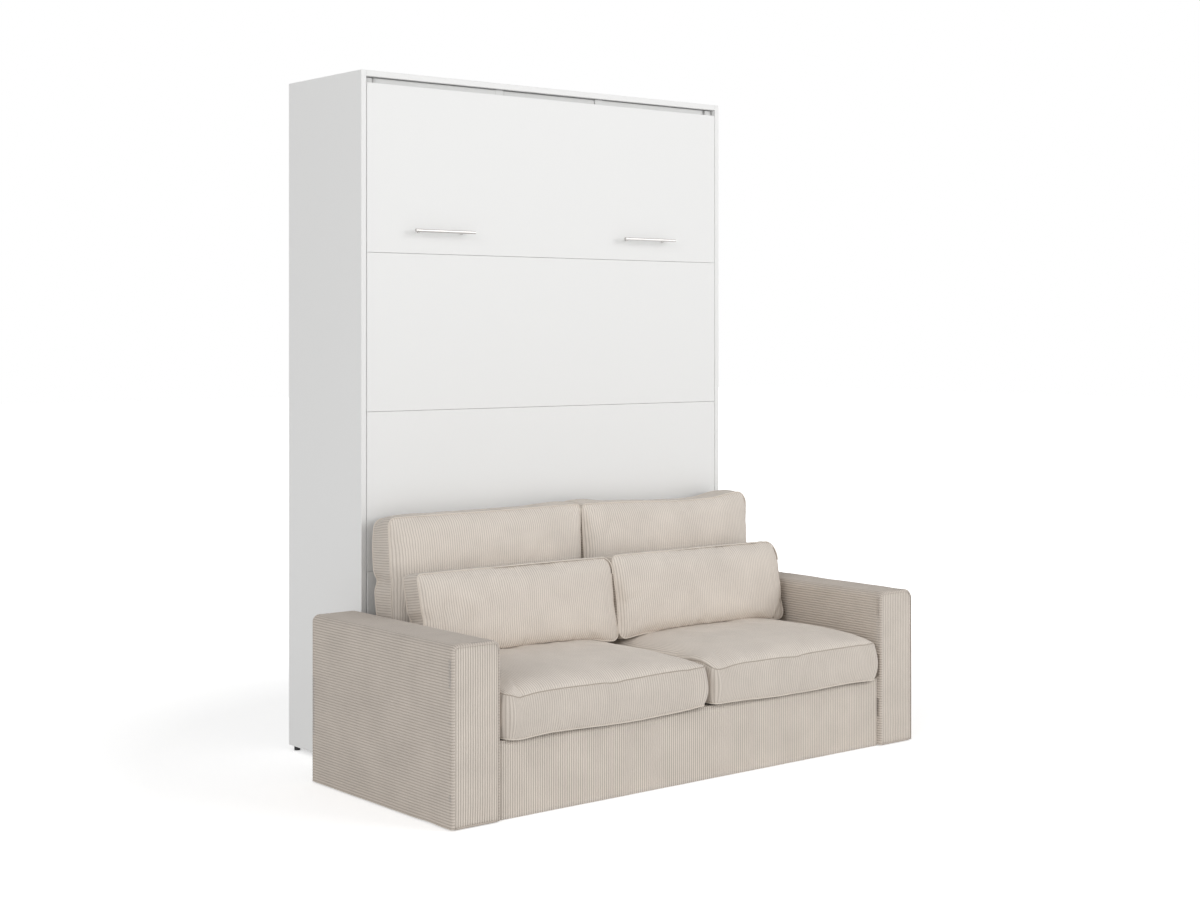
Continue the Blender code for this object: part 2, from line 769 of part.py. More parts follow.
def add_soft(name, points, faces, finish, parent, place=(0, 0, 0)):
    """An object from points in the frame of wall_bed."""
    mesh = bpy.data.meshes.new(name)
    mesh.from_pydata((points - np.array(place)).tolist(), [], faces)
    shape = bmesh.new()
    shape.from_mesh(mesh)
    bmesh.ops.recalc_face_normals(shape, faces=shape.faces)
    shape.to_mesh(mesh)
    shape.free()
    mesh.shade_smooth()
    return add(name, mesh, finish, parent, place)


def mattress(bed, ticking, webbing):
    """The mattress on the slats, flat behind and crowned in front, and the strap that holds it."""
    boxing = MATTRESS_THICKNESS - MATTRESS_CROWN
    height = bed_head - bed_base - 2 * MATTRESS_END_MARGIN
    points, faces = cushion_points(
        2 * half_frame, height, boxing, (MATTRESS_CROWN, 0), MATTRESS_CORNER, MATTRESS_BULGE, 0
    )
    middle = (0, mattress_front + boxing / 2, bed_base + MATTRESS_END_MARGIN + height / 2)
    standing = np.stack([-points[:, 0], points[:, 2], points[:, 1]], -1) + np.array(middle)
    add_soft("mattress", standing, faces, ticking, bed, middle)

    back = mattress_front + MATTRESS_THICKNESS + TOUCH_GAP
    inner = half_frame + TOUCH_GAP
    height = bed_head - STRAP_DROP
    low, high = height - STRAP_WIDTH / 2, height + STRAP_WIDTH / 2
    outer = inner + STRAP_THICKNESS
    strap = board(
        "mattress_strap",
        (-outer, frame_front, low),
        (outer, back + STRAP_THICKNESS, high),
        webbing,
        bed,
        STRAP_THICKNESS / 4,
    )
    room = board("strap_room", (-inner, -OVERRUN, low - OVERRUN), (inner, back, high + OVERRUN), None, None)
    room.modifiers.clear()
    room.parent = bed.parent
    combine(strap, room, "DIFFERENCE")


def sofa_body(root, cord):
    """Two box arms on the floor, the front panel between them, the deck behind it and the back rail."""
    half_sofa = SOFA_WIDTH / 2
    across = half_seat - TOUCH_GAP
    for side, sign in SIDES:
        middle = (half_sofa + half_seat) / 2
        length = ARM_REACH - ARM_REAR_GAP
        outline = rounded_rectangle(ARM_THICKNESS, ARM_HEIGHT, ARM_CORNER, ARM_CORNER_SIDES)
        place = (sign * middle, -ARM_REAR_GAP - length / 2, ARM_HEIGHT / 2)
        shape = bmesh.new()
        points = [shape.verts.new((x, -length / 2, z)) for x, z in outline]
        grown = bmesh.ops.extrude_face_region(shape, geom=[shape.faces.new(points)])
        moved = [item for item in grown["geom"] if isinstance(item, bmesh.types.BMVert)]
        bmesh.ops.translate(shape, vec=(0, length, 0), verts=moved)
        name = "sofa_arm_" + side
        arm = add(name, finished(shape, name, smooth=True), cord, root, place)
        bevelled(arm, ARM_ROUNDING, 2).modifiers[0].angle_limit = math.radians(60)
    board(
        "sofa_front_panel",
        (-across, -panel_face, 0),
        (across, FRONT_PANEL_THICKNESS - panel_face, SEAT_DECK_TOP),
        cord,
        root,
        FRONT_PANEL_ROUNDING,
        2,
    )
    board(
        "sofa_seat_deck",
        (-across, FRONT_PANEL_THICKNESS - panel_face + TOUCH_GAP, SEAT_DECK_TOP - SEAT_DECK_THICKNESS),
        (across, -rail_face - TOUCH_GAP, SEAT_DECK_TOP),
        cord,
        root,
    )
    board("sofa_back_rail", (-across, -rail_face, 0), (across, -TOUCH_GAP, SEAT_DECK_TOP), cord, root)


def seat_cushions(root, cord):
    """Two seat cushions side by side on the deck, flat below and crowned above.

    Gives the highest line of the right one, from side to side, and how far forward they come.
    """
    width = half_seat - CUSHION_SIDE_GAP / 2 - SEAT_ARM_GAP
    depth = seat_reach - SEAT_REAR_GAP
    middle = (half_seat + CUSHION_SIDE_GAP / 2 - SEAT_ARM_GAP) / 2
    points, faces = cushion_points(
        width, depth, SEAT_BOXING, (SEAT_CROWN, 0), SEAT_CORNER, SEAT_BULGE, CUSHION_DRAW
    )
    for side, sign in SIDES:
        place = (
            sign * middle,
            -SEAT_REAR_GAP - depth / 2,
            SEAT_DECK_TOP + TOUCH_GAP + SEAT_BOXING / 2,
        )
        slide = empty("seat_cushion_slide_" + side, place, root)
        placed = points + np.array(place)
        add_soft("seat_cushion_" + side, placed, faces, cord, slide, place)
    top = placed[: (CUSHION_ACROSS + 1) * (CUSHION_ALONG + 1)]
    ridge = top.reshape(CUSHION_ACROSS + 1, CUSHION_ALONG + 1, 3)[:, CUSHION_ALONG // 2]
    return ridge, placed[:, 1].min()


def leaning(points, lean, middle):
    """Upright points leant back by an angle: v runs up and back, w forward and up."""
    sine, cosine = math.sin(lean), math.cos(lean)
    x, v, w = points.T
    return np.stack([x, v * sine - w * cosine, v * cosine + w * sine], -1) + middle


def lowered(points, ridge):
    """Points moved down until they ride just above the seat's ridge, so that they also pass over it."""
    below = np.interp(points[:, 0], ridge[:, 0], ridge[:, 2], left=0, right=0)
    return points - np.array([0, 0, (points[:, 2] - below).min() - CUSHION_RIDE])


def room_behind(points, faces, other_points, other_faces):
    """The least distance, straight back, between a cushion and the one behind it."""
    tree = BVHTree.FromPolygons(points.tolist(), faces)
    other = BVHTree.FromPolygons(other_points.tolist(), other_faces)
    back = Vector((0, 1, 0))
    hits = [other.ray_cast(Vector(spot), back)[3] for spot in points]
    hits += [tree.ray_cast(Vector(spot), -back)[3] for spot in other_points]
    return min(hit for hit in hits if hit is not None)


def loose_cushions(root, cord, ridge):
    """Back cushions against the closed bed front, and lumbar cushions against them, all on the seat."""
    back, back_faces = cushion_points(
        BACK_WIDTH, BACK_HEIGHT, BACK_BOXING, BACK_CROWNS, BACK_CORNER, BACK_BULGE, CUSHION_DRAW
    )
    lumbar, lumbar_faces = cushion_points(
        LUMBAR_WIDTH,
        LUMBAR_HEIGHT,
        LUMBAR_BOXING,
        LUMBAR_CROWNS,
        LUMBAR_CORNER,
        LUMBAR_BULGE,
        CUSHION_DRAW,
    )
    height = ridge[:, 2].max() + BACK_HEIGHT
    back_x = (BACK_WIDTH + CUSHION_SIDE_GAP) / 2
    lumbar_x = (LUMBAR_WIDTH + CUSHION_SIDE_GAP) / 2
    back = lowered(leaning(back, BACK_LEAN, np.array([back_x, 0, height])), ridge)
    back[:, 1] -= back[:, 1].max() + TOUCH_GAP
    lumbar = lowered(leaning(lumbar, LUMBAR_LEAN, np.array([lumbar_x, 0, height])), ridge)
    lumbar[:, 1] += back[:, 1].min() - lumbar[:, 1].max()
    lumbar[:, 1] += room_behind(lumbar, lumbar_faces, back, back_faces) - CUSHION_TOUCH
    for kind, shape, faces in (("back", back, back_faces), ("lumbar", lumbar, lumbar_faces)):
        for side, sign in SIDES:
            points = shape * np.array([sign, 1, 1])
            place = tuple((points.max(0) + points.min(0)) / 2)
            slide = empty(kind + "_cushion_slide_" + side, place, root)
            add_soft(kind + "_cushion_" + side, points, faces, cord, slide, place)


def build():
    """Clears the scene and makes the whole object."""
    for item in list(bpy.data.objects):
        bpy.data.objects.remove(item, do_unlink=True)
    white = material("white melamine", (0.84, 0.84, 0.85), 0.42)
    cord = material("beige corduroy", (0.62, 0.56, 0.49), 0.95)
    steel = material("grey powder coated steel", (0.45, 0.46, 0.47), 0.45, 0.3)
    bright = material("satin nickel", (0.78, 0.78, 0.78), 0.3, 1.0)
    dark = material("black painted steel", (0.03, 0.03, 0.03), 0.35)
    black = material("black plastic", (0.02, 0.02, 0.02), 0.5)
    birch = material("birch plywood", (0.72, 0.56, 0.36), 0.5)
    ticking = material("white mattress ticking", (0.86, 0.85, 0.82), 0.9)
    webbing = material("grey webbing", (0.3, 0.3, 0.3), 0.8)

    root = empty("wall_bed", (0, 0, 0))
    bed = empty("bed_pivot_axis", (0, PIVOT_SETBACK, PIVOT_HEIGHT), root)

    panels(root, white, black)
    pivots(root, bed, steel)
    struts(root, steel, dark)
    bed_front(bed, white)
    bed_frame(bed, steel, birch)
    handles(bed, bright)
    legs(bed, steel, black)
    mattress(bed, ticking, webbing)
    sofa_body(root, cord)
    ridge, front = seat_cushions(root, cord)
    loose_cushions(root, cord, ridge)
    root.location.y = -(CABINET_DEPTH + front) / 2


build()
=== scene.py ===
"""Wall bed with a sofa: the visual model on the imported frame. Lengths are in metres, in the row frame."""

import math

import bpy
import numpy as np
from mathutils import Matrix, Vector


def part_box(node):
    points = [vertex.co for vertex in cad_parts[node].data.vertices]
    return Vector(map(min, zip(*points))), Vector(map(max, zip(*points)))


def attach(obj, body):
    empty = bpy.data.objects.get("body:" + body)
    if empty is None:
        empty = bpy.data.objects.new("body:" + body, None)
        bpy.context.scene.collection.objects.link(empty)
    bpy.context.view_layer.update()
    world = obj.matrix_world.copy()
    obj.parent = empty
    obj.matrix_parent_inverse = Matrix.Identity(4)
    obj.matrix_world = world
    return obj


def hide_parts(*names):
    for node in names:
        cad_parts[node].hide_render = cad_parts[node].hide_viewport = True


MM = 0.001
TINY = 1e-12  # keeps a division from being one by nought
PITCH = 8.1 * MM  # one wale of the corduroy
RIB = 1.6 * MM  # from a wale's top down to the groove
# Places across one wale in parts of the pitch, and its height there: 0 in the groove and 1 on top. The height
# also sets the colour, painted darker as shade towards the groove.
PHASES = np.array([0.0, 0.14, 0.31, 0.5, 0.69, 0.86])
LEVELS = np.array([0.0, 0.45, 0.88, 1.0, 0.88, 0.45])
EDGE_LEVEL = 0.4  # a wale's height where the cloth ends at a seam
STRETCHED = 0.50  # how much of a wale is left where the cloth is stretched over a cushion
PIPING = 2.0 * MM  # the piping's radius
SUNK_PIPING = 1.7 * MM  # radius of the seats' upper piping, in the valley between two full faces
ROUND = np.linspace(0, 2 * math.pi, 10, endpoint=False)  # angles round a piping
CELL = 21 * MM  # the simulated cloth's grid
FRAMES = 20  # of the cloth simulation
FILLING = 3.0  # the pressure in it
SLACK = 0.006  # the share by which it is larger than its form
FURTHEST = 7 * MM  # no point of the cloth moves further when it is filled
SIDEWAYS = 0.15  # how much of that movement is kept along the faces

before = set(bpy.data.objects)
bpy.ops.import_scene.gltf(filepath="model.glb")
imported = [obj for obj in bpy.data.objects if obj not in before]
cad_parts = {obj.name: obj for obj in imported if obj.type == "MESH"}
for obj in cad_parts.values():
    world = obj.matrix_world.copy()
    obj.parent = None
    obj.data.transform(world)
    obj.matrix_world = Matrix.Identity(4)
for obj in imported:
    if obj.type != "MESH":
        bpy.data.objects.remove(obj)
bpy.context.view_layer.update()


# Colours and materials


def linear(code):
    """An sRGB hex colour as linear red, green, blue and alpha."""
    c = np.array([int(code[i : i + 2], 16) for i in (1, 3, 5)]) / 255
    c = np.where(c <= 0.04045, c / 12.92, ((c + 0.055) / 1.055) ** 2.4)
    return (*(float(v) for v in c), 1.0)


def node(tree, kind, inputs=None, **settings):
    """Adds a shader node with its settings, and fills its inputs with values or with links from sockets."""
    made = tree.nodes.new("ShaderNode" + kind)
    for name, value in settings.items():
        setattr(made, name, value)
    for name, value in (inputs or {}).items():
        if isinstance(value, bpy.types.NodeSocket):
            tree.links.new(value, made.inputs[name])
        else:
            made.inputs[name].default_value = value
    return made


def finish(name, colour, roughness, metallic=0.0, **more):
    """A Principled material, its tree and its shader node. more: input names with spaces as underscores."""
    made = bpy.data.materials.new(name)
    made.use_nodes = True
    tree = made.node_tree
    shader = tree.nodes["Principled BSDF"]
    shader.inputs["Base Color"].default_value = linear(colour)
    shader.inputs["Roughness"].default_value = roughness
    shader.inputs["Metallic"].default_value = metallic
    for key, value in more.items():
        shader.inputs[key.replace("_", " ")].default_value = value
    return made, tree, shader


def mapped(tree, value, low, high, to_low, to_high):
    """A value carried in a straight line from one range to another, and held inside it."""
    inputs = {"Value": value, "From Min": low, "From Max": high, "To Min": to_low, "To Max": to_high}
    return node(tree, "MapRange", inputs).outputs["Result"]


def noise(tree, place, scale, detail, roughness):
    """Noise about one half."""
    inputs = {"Vector": place, "Scale": scale, "Detail": detail, "Roughness": roughness}
    return node(tree, "TexNoise", inputs).outputs["Fac"]


def corduroy(name, top, groove):
    """Cut-pile polyester corduroy, woven, brushed and sheared: soft round wales, with painted shade that
    darkens the grooves between them. The pile scatters light at grazing angles, and short fibres make each
    wale a little uneven in tone."""
    made, tree, shader = finish(
        name, top, 0.92, Sheen_Weight=0.22, Sheen_Roughness=0.45, Specular_IOR_Level=0.12
    )
    wale = node(tree, "Attribute", attribute_name="wale").outputs["Fac"]
    fabric = node(tree, "Attribute", attribute_name="fabric").outputs["Vector"]
    drawn_out = node(tree, "Mapping", {"Vector": fabric, "Scale": (900, 420, 900)})
    fibres = noise(tree, drawn_out.outputs["Vector"], 1.0, 2.0, 0.6)
    nap = noise(tree, fabric, 8.0, 3.0, 0.55)
    uneven = mapped(tree, fibres, 0.25, 0.75, 0.90, 1.06)
    brushed = mapped(tree, nap, 0.3, 0.7, 0.945, 1.04)
    both = node(tree, "Math", {0: uneven, 1: brushed}, operation="MULTIPLY")
    # The groove colour is painted shade: the lower the wale attribute, the more of it.
    # The mix's sockets share names, so they go by number: 0 is the share, 6 and 7 the colours, 2 the result.
    tone = node(tree, "Mix", {0: wale, 6: linear(groove), 7: linear(top)}, data_type="RGBA")
    shade = node(tree, "VectorMath", {0: tone.outputs[2], "Scale": both.outputs[0]}, operation="SCALE")
    tree.links.new(shade.outputs[0], shader.inputs["Base Color"])
    bump = node(tree, "Bump", {"Height": fibres, "Strength": 0.35, "Distance": 0.4 * MM})
    tree.links.new(bump.outputs[0], shader.inputs["Normal"])
    return made


# Meshes


def add(name, data):
    """A new object in the scene."""
    obj = bpy.data.objects.new(name, data)
    bpy.context.scene.collection.objects.link(obj)
    return obj


def grid_faces(rows, columns, first=0, around=False, flip=False):
    """Quads of a grid of points stored row by row. around joins the last column to the first."""
    j = np.arange(columns if around else columns - 1)
    i = np.arange(rows - 1)[:, None]
    a, b = i * columns + j, i * columns + (j + 1) % columns
    quads = np.stack([a, b, b + columns, a + columns], -1).reshape(-1, 4) + first
    return quads[:, ::-1] if flip else quads


def patch(points, fabric=(0, 0), wale=1, around=False, flip=False, slot=0):
    """A grid of points with its two fabric coordinates, its wale heights and its material's number. around
    joins the last column to the first, and flip turns the faces over."""
    size = points.shape[:2]
    fabric = np.stack([np.broadcast_to(part, size) for part in fabric], -1)
    return points, fabric, np.broadcast_to(wale, size), around, flip, slot


def piece(name, patches, finishes):
    """A smooth-shaded mesh object from patches, in place, with the attributes fabric and wale. The wale
    attribute sets the painted groove shade.
    """
    points, fabrics, heights, quads, slots, first = [], [], [], [], [], 0
    for grid, fabric, wale, around, flip, slot in patches:
        points.append(grid.reshape(-1, 3))
        fabrics.append(fabric.reshape(-1, 2))
        heights.append(wale.ravel())
        quads.append(grid_faces(*grid.shape[:2], first, around, flip))
        slots.append(np.full(len(quads[-1]), slot))
        first += len(points[-1])
    points, quads = np.concatenate(points), np.concatenate(quads)
    mesh = bpy.data.meshes.new(name)
    mesh.vertices.add(len(points))
    mesh.vertices.foreach_set("co", points.astype(np.float32).ravel())
    mesh.loops.add(quads.size)
    mesh.loops.foreach_set("vertex_index", quads.astype(np.int32).ravel())
    mesh.polygons.add(len(quads))
    mesh.polygons.foreach_set("loop_start", np.arange(0, quads.size, 4, dtype=np.int32))
    mesh.polygons.foreach_set("material_index", np.concatenate(slots).astype(np.int32))
    mesh.update(calc_edges=True)
    flat = np.column_stack([np.concatenate(fabrics), np.zeros(len(points))]).astype(np.float32)
    mesh.attributes.new("fabric", "FLOAT_VECTOR", "POINT").data.foreach_set("vector", flat.ravel())
    heights = np.concatenate(heights).astype(np.float32)
    mesh.attributes.new("wale", "FLOAT", "POINT").data.foreach_set("value", heights)
    for made in finishes:
        mesh.materials.append(made)
    mesh.shade_smooth()
    return add(name, mesh)


def corners_of(name):
    """The low and the high corner of a CAD node's box."""
    return tuple(np.array(v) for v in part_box(name))


def normals(points, around=False):
    """Unit normals of a grid of points, from its rows crossed with its columns."""
    if around:
        wide = np.concatenate([points[:, -1:], points, points[:, :1]], 1)
        along = (wide[:, 2:] - wide[:, :-2]) / 2
    else:
        along = np.gradient(points, axis=1)
    across = np.gradient(points, axis=0)
    n = np.cross(along, across)
    return n / np.maximum(np.linalg.norm(n, axis=-1, keepdims=True), TINY)


def headings(path):
    """Unit directions along a closed path."""
    ahead = np.roll(path, -1, 0) - np.roll(path, 1, 0)
    return ahead / np.linalg.norm(ahead, axis=1, keepdims=True)


def tube(path, side, rise, radius):
    """A round tube on a closed path, path + radius (cos a side + sin a rise), with its first ring twice."""
    turn = ROUND[None, :, None]
    rings = path[:, None] + radius * (np.cos(turn) * side[:, None] + np.sin(turn) * rise[:, None])
    return np.concatenate([rings, rings[:1]])


def fade(gap, length, first=0.0):
    """From first where the gap is nought, in a straight line up to one."""
    return np.clip(first + gap / length, 0, 1)


def crowded(half, count, bend):
    """Places from -half to half that lie closer together near both ends: half sin(bend s) / sin(bend)."""
    return half * np.sin(np.linspace(-1, 1, count) * bend) / math.sin(bend)


def spline(knots, values, at):
    """Values along the first axis at new places, on the cubic curve through the knots, each knot's slope from
    its neighbours."""
    slope = np.gradient(values, knots, axis=0)
    i = np.clip(np.searchsorted(knots, at) - 1, 0, len(knots) - 2)
    shape = (-1,) + (1,) * (values.ndim - 1)
    h = (knots[i + 1] - knots[i]).reshape(shape)
    t = np.clip((at - knots[i]) / (knots[i + 1] - knots[i]), 0, 1).reshape(shape)
    return (
        (1 + 2 * t) * (1 - t) ** 2 * values[i]
        + t * (1 - t) ** 2 * h * slope[i]
        + t * t * (3 - 2 * t) * values[i + 1]
        + t * t * (t - 1) * h * slope[i + 1]
    )


def wales(low, high, centre=0.0):
    """Places across the cloth from low to high with six to each wale, and the height of the wale at each.
    A groove lies at centre."""
    first, last = math.ceil((low - centre) / PITCH), math.floor((high - centre) / PITCH)
    numbers = np.arange(first - 1, last + 1)
    places = (centre + PITCH * (numbers[:, None] + PHASES)).ravel()
    levels = np.tile(LEVELS, len(numbers))
    apart = 0.2 * MM  # from the ends to the next places
    inside = (places > low + apart) & (places < high - apart)
    places = np.concatenate([[low], places[inside], [high]])
    return places, np.concatenate([[EDGE_LEVEL], levels[inside], [EDGE_LEVEL]])


def waves(at, seed, shortest, longest, count=7, around=None):
    """A smooth uneven curve with a height of about one, the sum of sin(2 pi at / length + offset). The
    shortest and longest length are in mm. Where it closes on itself after around, in m, each divides that."""
    rng = np.random.default_rng(seed)
    lengths = np.geomspace(shortest * MM, longest * MM, count) * rng.uniform(0.85, 1.15, count)
    if around:
        lengths = around / np.maximum(np.round(around / lengths), 1)
    offsets = rng.uniform(0, 2 * math.pi, count)
    total = sum(np.sin(2 * math.pi * at / length + offset) for length, offset in zip(lengths, offsets))
    return total / math.sqrt(count)


# Cushions


class Cushion:
    """A box cushion: two crowned faces with rounded corners, a boxing band between them, sides drawn in.
    Its own axes are x across, y up its face and z from the rear face to the front face.

    size is across and up, boxing the band's width, and crowns how far the front and the rear face rise. bulge
    is the band's, draw how far sides and ends are drawn in, and powers shape the crowns. Corner radii (lower
    right, upper right, upper left, lower left) and pushes (centre, radii, movement) are in mm."""

    def __init__(self, size, boxing, crowns, corners, bulge, draw, powers=(3.0, 0.55), pushes=()):
        self.w, self.h = size[0] / 2, size[1] / 2
        self.boxing, self.crowns, self.bulge = boxing, crowns, bulge
        self.draw, self.powers = draw, powers
        self.corners, self.pushes = np.array(corners) * MM, np.array(pushes) * MM
        turn = np.linspace(0, math.pi / 2, 40)
        arcs = []
        signs = ((1, -1, -math.pi / 2), (1, 1, 0), (-1, 1, math.pi / 2), (-1, -1, math.pi))
        for (sx, sy, begin), r in zip(signs, self.corners):
            a = begin + turn
            middle = np.array([sx * (self.w - r), sy * (self.h - r)])
            arcs.append(middle + r * np.stack([np.cos(a), np.sin(a)], -1))
        ring = np.concatenate([[[0, -self.h]], *arcs, [[0, -self.h]]])
        steps = np.linalg.norm(np.diff(ring, axis=0), axis=1)
        self.ring, self.ring_at = ring, np.concatenate([[0], np.cumsum(steps)])
        self.around = self.ring_at[-1]

    def edge(self, x, t):
        """Half the face's height at x in the upper (t above 0) or lower half: the corners cut it short."""
        upper = t > 0
        on_right = np.where(upper, self.corners[1], self.corners[0])
        on_left = np.where(upper, self.corners[2], self.corners[3])
        r = np.where(x > 0, on_right, on_left)
        past = np.clip(np.abs(x) - (self.w - r), 0, r)
        return self.h - r + np.sqrt(r**2 - past**2)

    def shaped(self, points):
        """Sides drawn in between the corners by draw u^4 (1 - v^2), then the pushes, each exp(-d^2 / 2)."""
        x, y = points[..., 0], points[..., 1]
        u, v = x / self.w, y / self.h
        out = points.copy()
        out[..., 0] -= np.sign(x) * self.draw[0] * np.abs(u) ** 4 * np.clip(1 - v * v, 0, 1)
        out[..., 1] -= np.sign(y) * self.draw[1] * np.abs(v) ** 4 * np.clip(1 - u * u, 0, 1)
        for centre, radii, move in self.pushes:
            near = np.exp(-0.5 * (((points - centre) / radii) ** 2).sum(-1))
            out += near[..., None] * move
        return out

    def face(self, x, t, side):
        """The front (side 1) or rear (side -1) face at x across and at rows t from -1 to 1. It rises by
        crown ((1 - |x / w|^p) (1 - |t|^p))^q."""
        x, t = np.broadcast_arrays(x, t)
        p, q = self.powers
        rise = ((1 - np.abs(x / self.w) ** p) * (1 - np.abs(t) ** p)).clip(0) ** q
        z = side * (self.boxing / 2 + self.crowns[0 if side > 0 else 1] * rise)
        return self.shaped(np.stack([x, t * self.edge(x, t), z], -1))

    def band(self, at, ws):
        """The boxing at places round the cushion and at heights ws from -1 (rear welt) to 1 (front welt). It
        stands out by bulge cos(pi ws / 2)^0.75."""
        at = np.mod(at, self.around)
        x = np.interp(at, self.ring_at, self.ring[:, 0])
        y = np.interp(at, self.ring_at, self.ring[:, 1])
        ahead = np.mod(at + 0.5 * MM, self.around)
        dx = np.interp(ahead, self.ring_at, self.ring[:, 0]) - x
        dy = np.interp(ahead, self.ring_at, self.ring[:, 1]) - y
        length = np.hypot(dx, dy)
        out = self.bulge * np.abs(np.cos(ws[:, None] * math.pi / 2)) ** 0.75
        z = ws[:, None] * self.boxing / 2 + 0 * x
        return self.shaped(np.stack([x + out * dy / length, y - out * dx / length, z], -1))

    def along(self, points):
        """Where points near the outline lie along it: on the closer of the two steps at its nearest point."""
        nearest = ((points[:, None] - self.ring[None]) ** 2).sum(-1).argmin(1)
        places = []
        for point, near in zip(points, nearest):
            found = []
            for a in (near - 1, near):
                a = a % (len(self.ring) - 1)
                step = self.ring[a + 1] - self.ring[a]
                share = np.clip(np.dot(point - self.ring[a], step) / max(np.dot(step, step), TINY), 0, 1)
                gap = np.linalg.norm(self.ring[a] + share * step - point)
                found.append((gap, self.ring_at[a] + share * np.linalg.norm(step)))
            places.append(min(found, key=lambda pair: pair[0])[1] % self.around)
        return np.array(places)

    def coarse(self):
        """The closed cloth for the simulation: its grid lines, the band's rings, its points and faces."""
        xs = crowded(self.w, round(2 * self.w / CELL) + 3, 1.25)
        ts = crowded(1.0, round(2 * self.h / CELL) + 3, 1.25)
        nx, nt = len(xs), len(ts)
        # A face's border: along the first row, up the last column, back along the last row, and down.
        rows = [np.zeros(nx), np.arange(1, nt), np.full(nx - 1, nt - 1), np.arange(nt - 2, 0, -1)]
        columns = [np.arange(nx), np.full(nt - 1, nx - 1), np.arange(nx - 2, -1, -1), np.zeros(nt - 2)]
        border = (np.concatenate(rows) * nx + np.concatenate(columns)).astype(int)
        across, up = np.broadcast_arrays(xs[None, :], ts[:, None])
        plain = np.stack([across, up * self.edge(across, up)], -1).reshape(-1, 2)
        places = self.along(plain[border])
        first = int(places.argmin())
        border, places = np.roll(border, -first), np.roll(places, -first)
        heights = np.linspace(1, -1, 6)
        front, rear = (self.face(xs[None, :], ts[:, None], side) for side in (1, -1))
        band = self.band(places, heights)
        points = np.concatenate([front.reshape(-1, 3), rear.reshape(-1, 3), band[1:-1].reshape(-1, 3)])
        faces = [grid_faces(nt, nx), grid_faces(nt, nx, nt * nx, flip=True)]
        # The band's own rings lie between the borders of the two faces.
        own = 2 * nt * nx + np.arange(len(heights) - 2)[:, None] * len(border) + np.arange(len(border))
        rings = [border, *own, border + nt * nx]
        for upper, lower in zip(rings, rings[1:]):
            faces.append(np.stack([lower, np.roll(lower, -1), np.roll(upper, -1), upper], -1))
        return xs, ts, places, heights, rings, points, np.concatenate(faces)


def puffed(points, faces):
    """How far each point of a closed cloth moves when it is filled: pressure from inside, no gravity, and a
    cloth a little larger than its form."""
    mesh = bpy.data.meshes.new("filling")
    mesh.from_pydata(points.tolist(), [], faces.tolist())
    obj = add("filling", mesh)
    scene = bpy.context.scene
    cloth = obj.modifiers.new("cloth", "CLOTH")
    settings = cloth.settings
    settings.quality = 5
    settings.mass = 0.3
    settings.tension_stiffness = settings.compression_stiffness = 20
    settings.shear_stiffness = 8
    settings.bending_stiffness = 0.4
    settings.air_damping = 4
    settings.shrink_min = -SLACK
    settings.use_pressure = True
    settings.uniform_pressure_force = FILLING
    settings.effector_weights.gravity = 0
    cloth.collision_settings.use_collision = False
    cloth.point_cache.frame_start, cloth.point_cache.frame_end = 1, FRAMES
    for number in range(1, FRAMES + 1):
        scene.frame_set(number)
    dg = bpy.context.evaluated_depsgraph_get()
    moved = np.empty(len(points) * 3, np.float32)
    obj.evaluated_get(dg).data.vertices.foreach_get("co", moved)
    scene.frame_set(1)
    bpy.data.objects.remove(obj)
    bpy.data.meshes.remove(mesh)
    step = moved.reshape(-1, 3) - points
    step = (step - step.mean(0)) * np.array([SIDEWAYS, SIDEWAYS, 1.0])
    length = np.linalg.norm(step, axis=1, keepdims=True)
    return step * np.tanh(length / FURTHEST) * FURTHEST / np.maximum(length, TINY)


class Filled:
    """A cushion's cloth after filling, in the row frame. place moves the cushion's own axes there, and clamp
    holds the points clear of what lies beside and under the cushion."""

    def __init__(self, shape, place, clamp):
        self.xs, self.ts, at, self.ws, rings, points, faces = shape.coarse()
        moves = puffed(points, faces)
        count = len(self.xs) * len(self.ts)
        size = (len(self.ts), len(self.xs), 3)
        self.shape, self.place, self.clamp = shape, place, clamp
        self.face_moves = {1: moves[:count].reshape(size), -1: moves[count : 2 * count].reshape(size)}
        # Three places are repeated past each end, so that the curve through the band's points closes.
        band = np.stack([moves[ring] for ring in rings])
        self.at = np.concatenate([at[-3:] - shape.around, at, at[:3] + shape.around])
        self.band_moves = np.concatenate([band[:, -3:], band, band[:, :3]], 1)

    def face(self, columns, rows, side, sway=0.0):
        """The front (side 1) or rear (side -1) face at columns across, shifted by sway, and at rows."""
        across = spline(self.xs, np.moveaxis(self.face_moves[side], 1, 0), columns)
        moves = spline(self.ts, np.moveaxis(across, 0, 1), rows)
        x = np.clip(columns[None, :] + sway, -self.shape.w, self.shape.w)
        return self.clamp(self.place(self.shape.face(x, rows[:, None], side) + moves))

    def band(self, places, heights):
        """The boxing at places round the cushion and at heights from 1 (front welt) to -1 (rear welt)."""
        around = spline(self.at, np.moveaxis(self.band_moves, 1, 0), places)
        moves = spline(-self.ws, np.moveaxis(around, 0, 1), -heights)
        return self.clamp(self.place(self.shape.band(places, heights) + moves))


def folds(x, y, creases):
    """How deep soft folds lie in a face: exp(-a^2 / 2) along each crease, and exp(-b^2 / 2) with a low ridge
    beside it across the crease."""
    total = 0 * (x + y)
    for *sizes, angle in creases:
        cx, cy, long, wide, deep = np.array(sizes) * MM
        c, s = math.cos(math.radians(angle)), math.sin(math.radians(angle))
        a, b = (x - cx) * c + (y - cy) * s, (y - cy) * c - (x - cx) * s
        b = b + 0.12 * a * a / long
        ridge = 0.45 * np.exp(-0.5 * ((b - 2 * wide) / (1.2 * wide)) ** 2)
        total += deep * np.exp(-0.5 * (a / long) ** 2) * (np.exp(-0.5 * (b / wide) ** 2) - ridge)
    return total


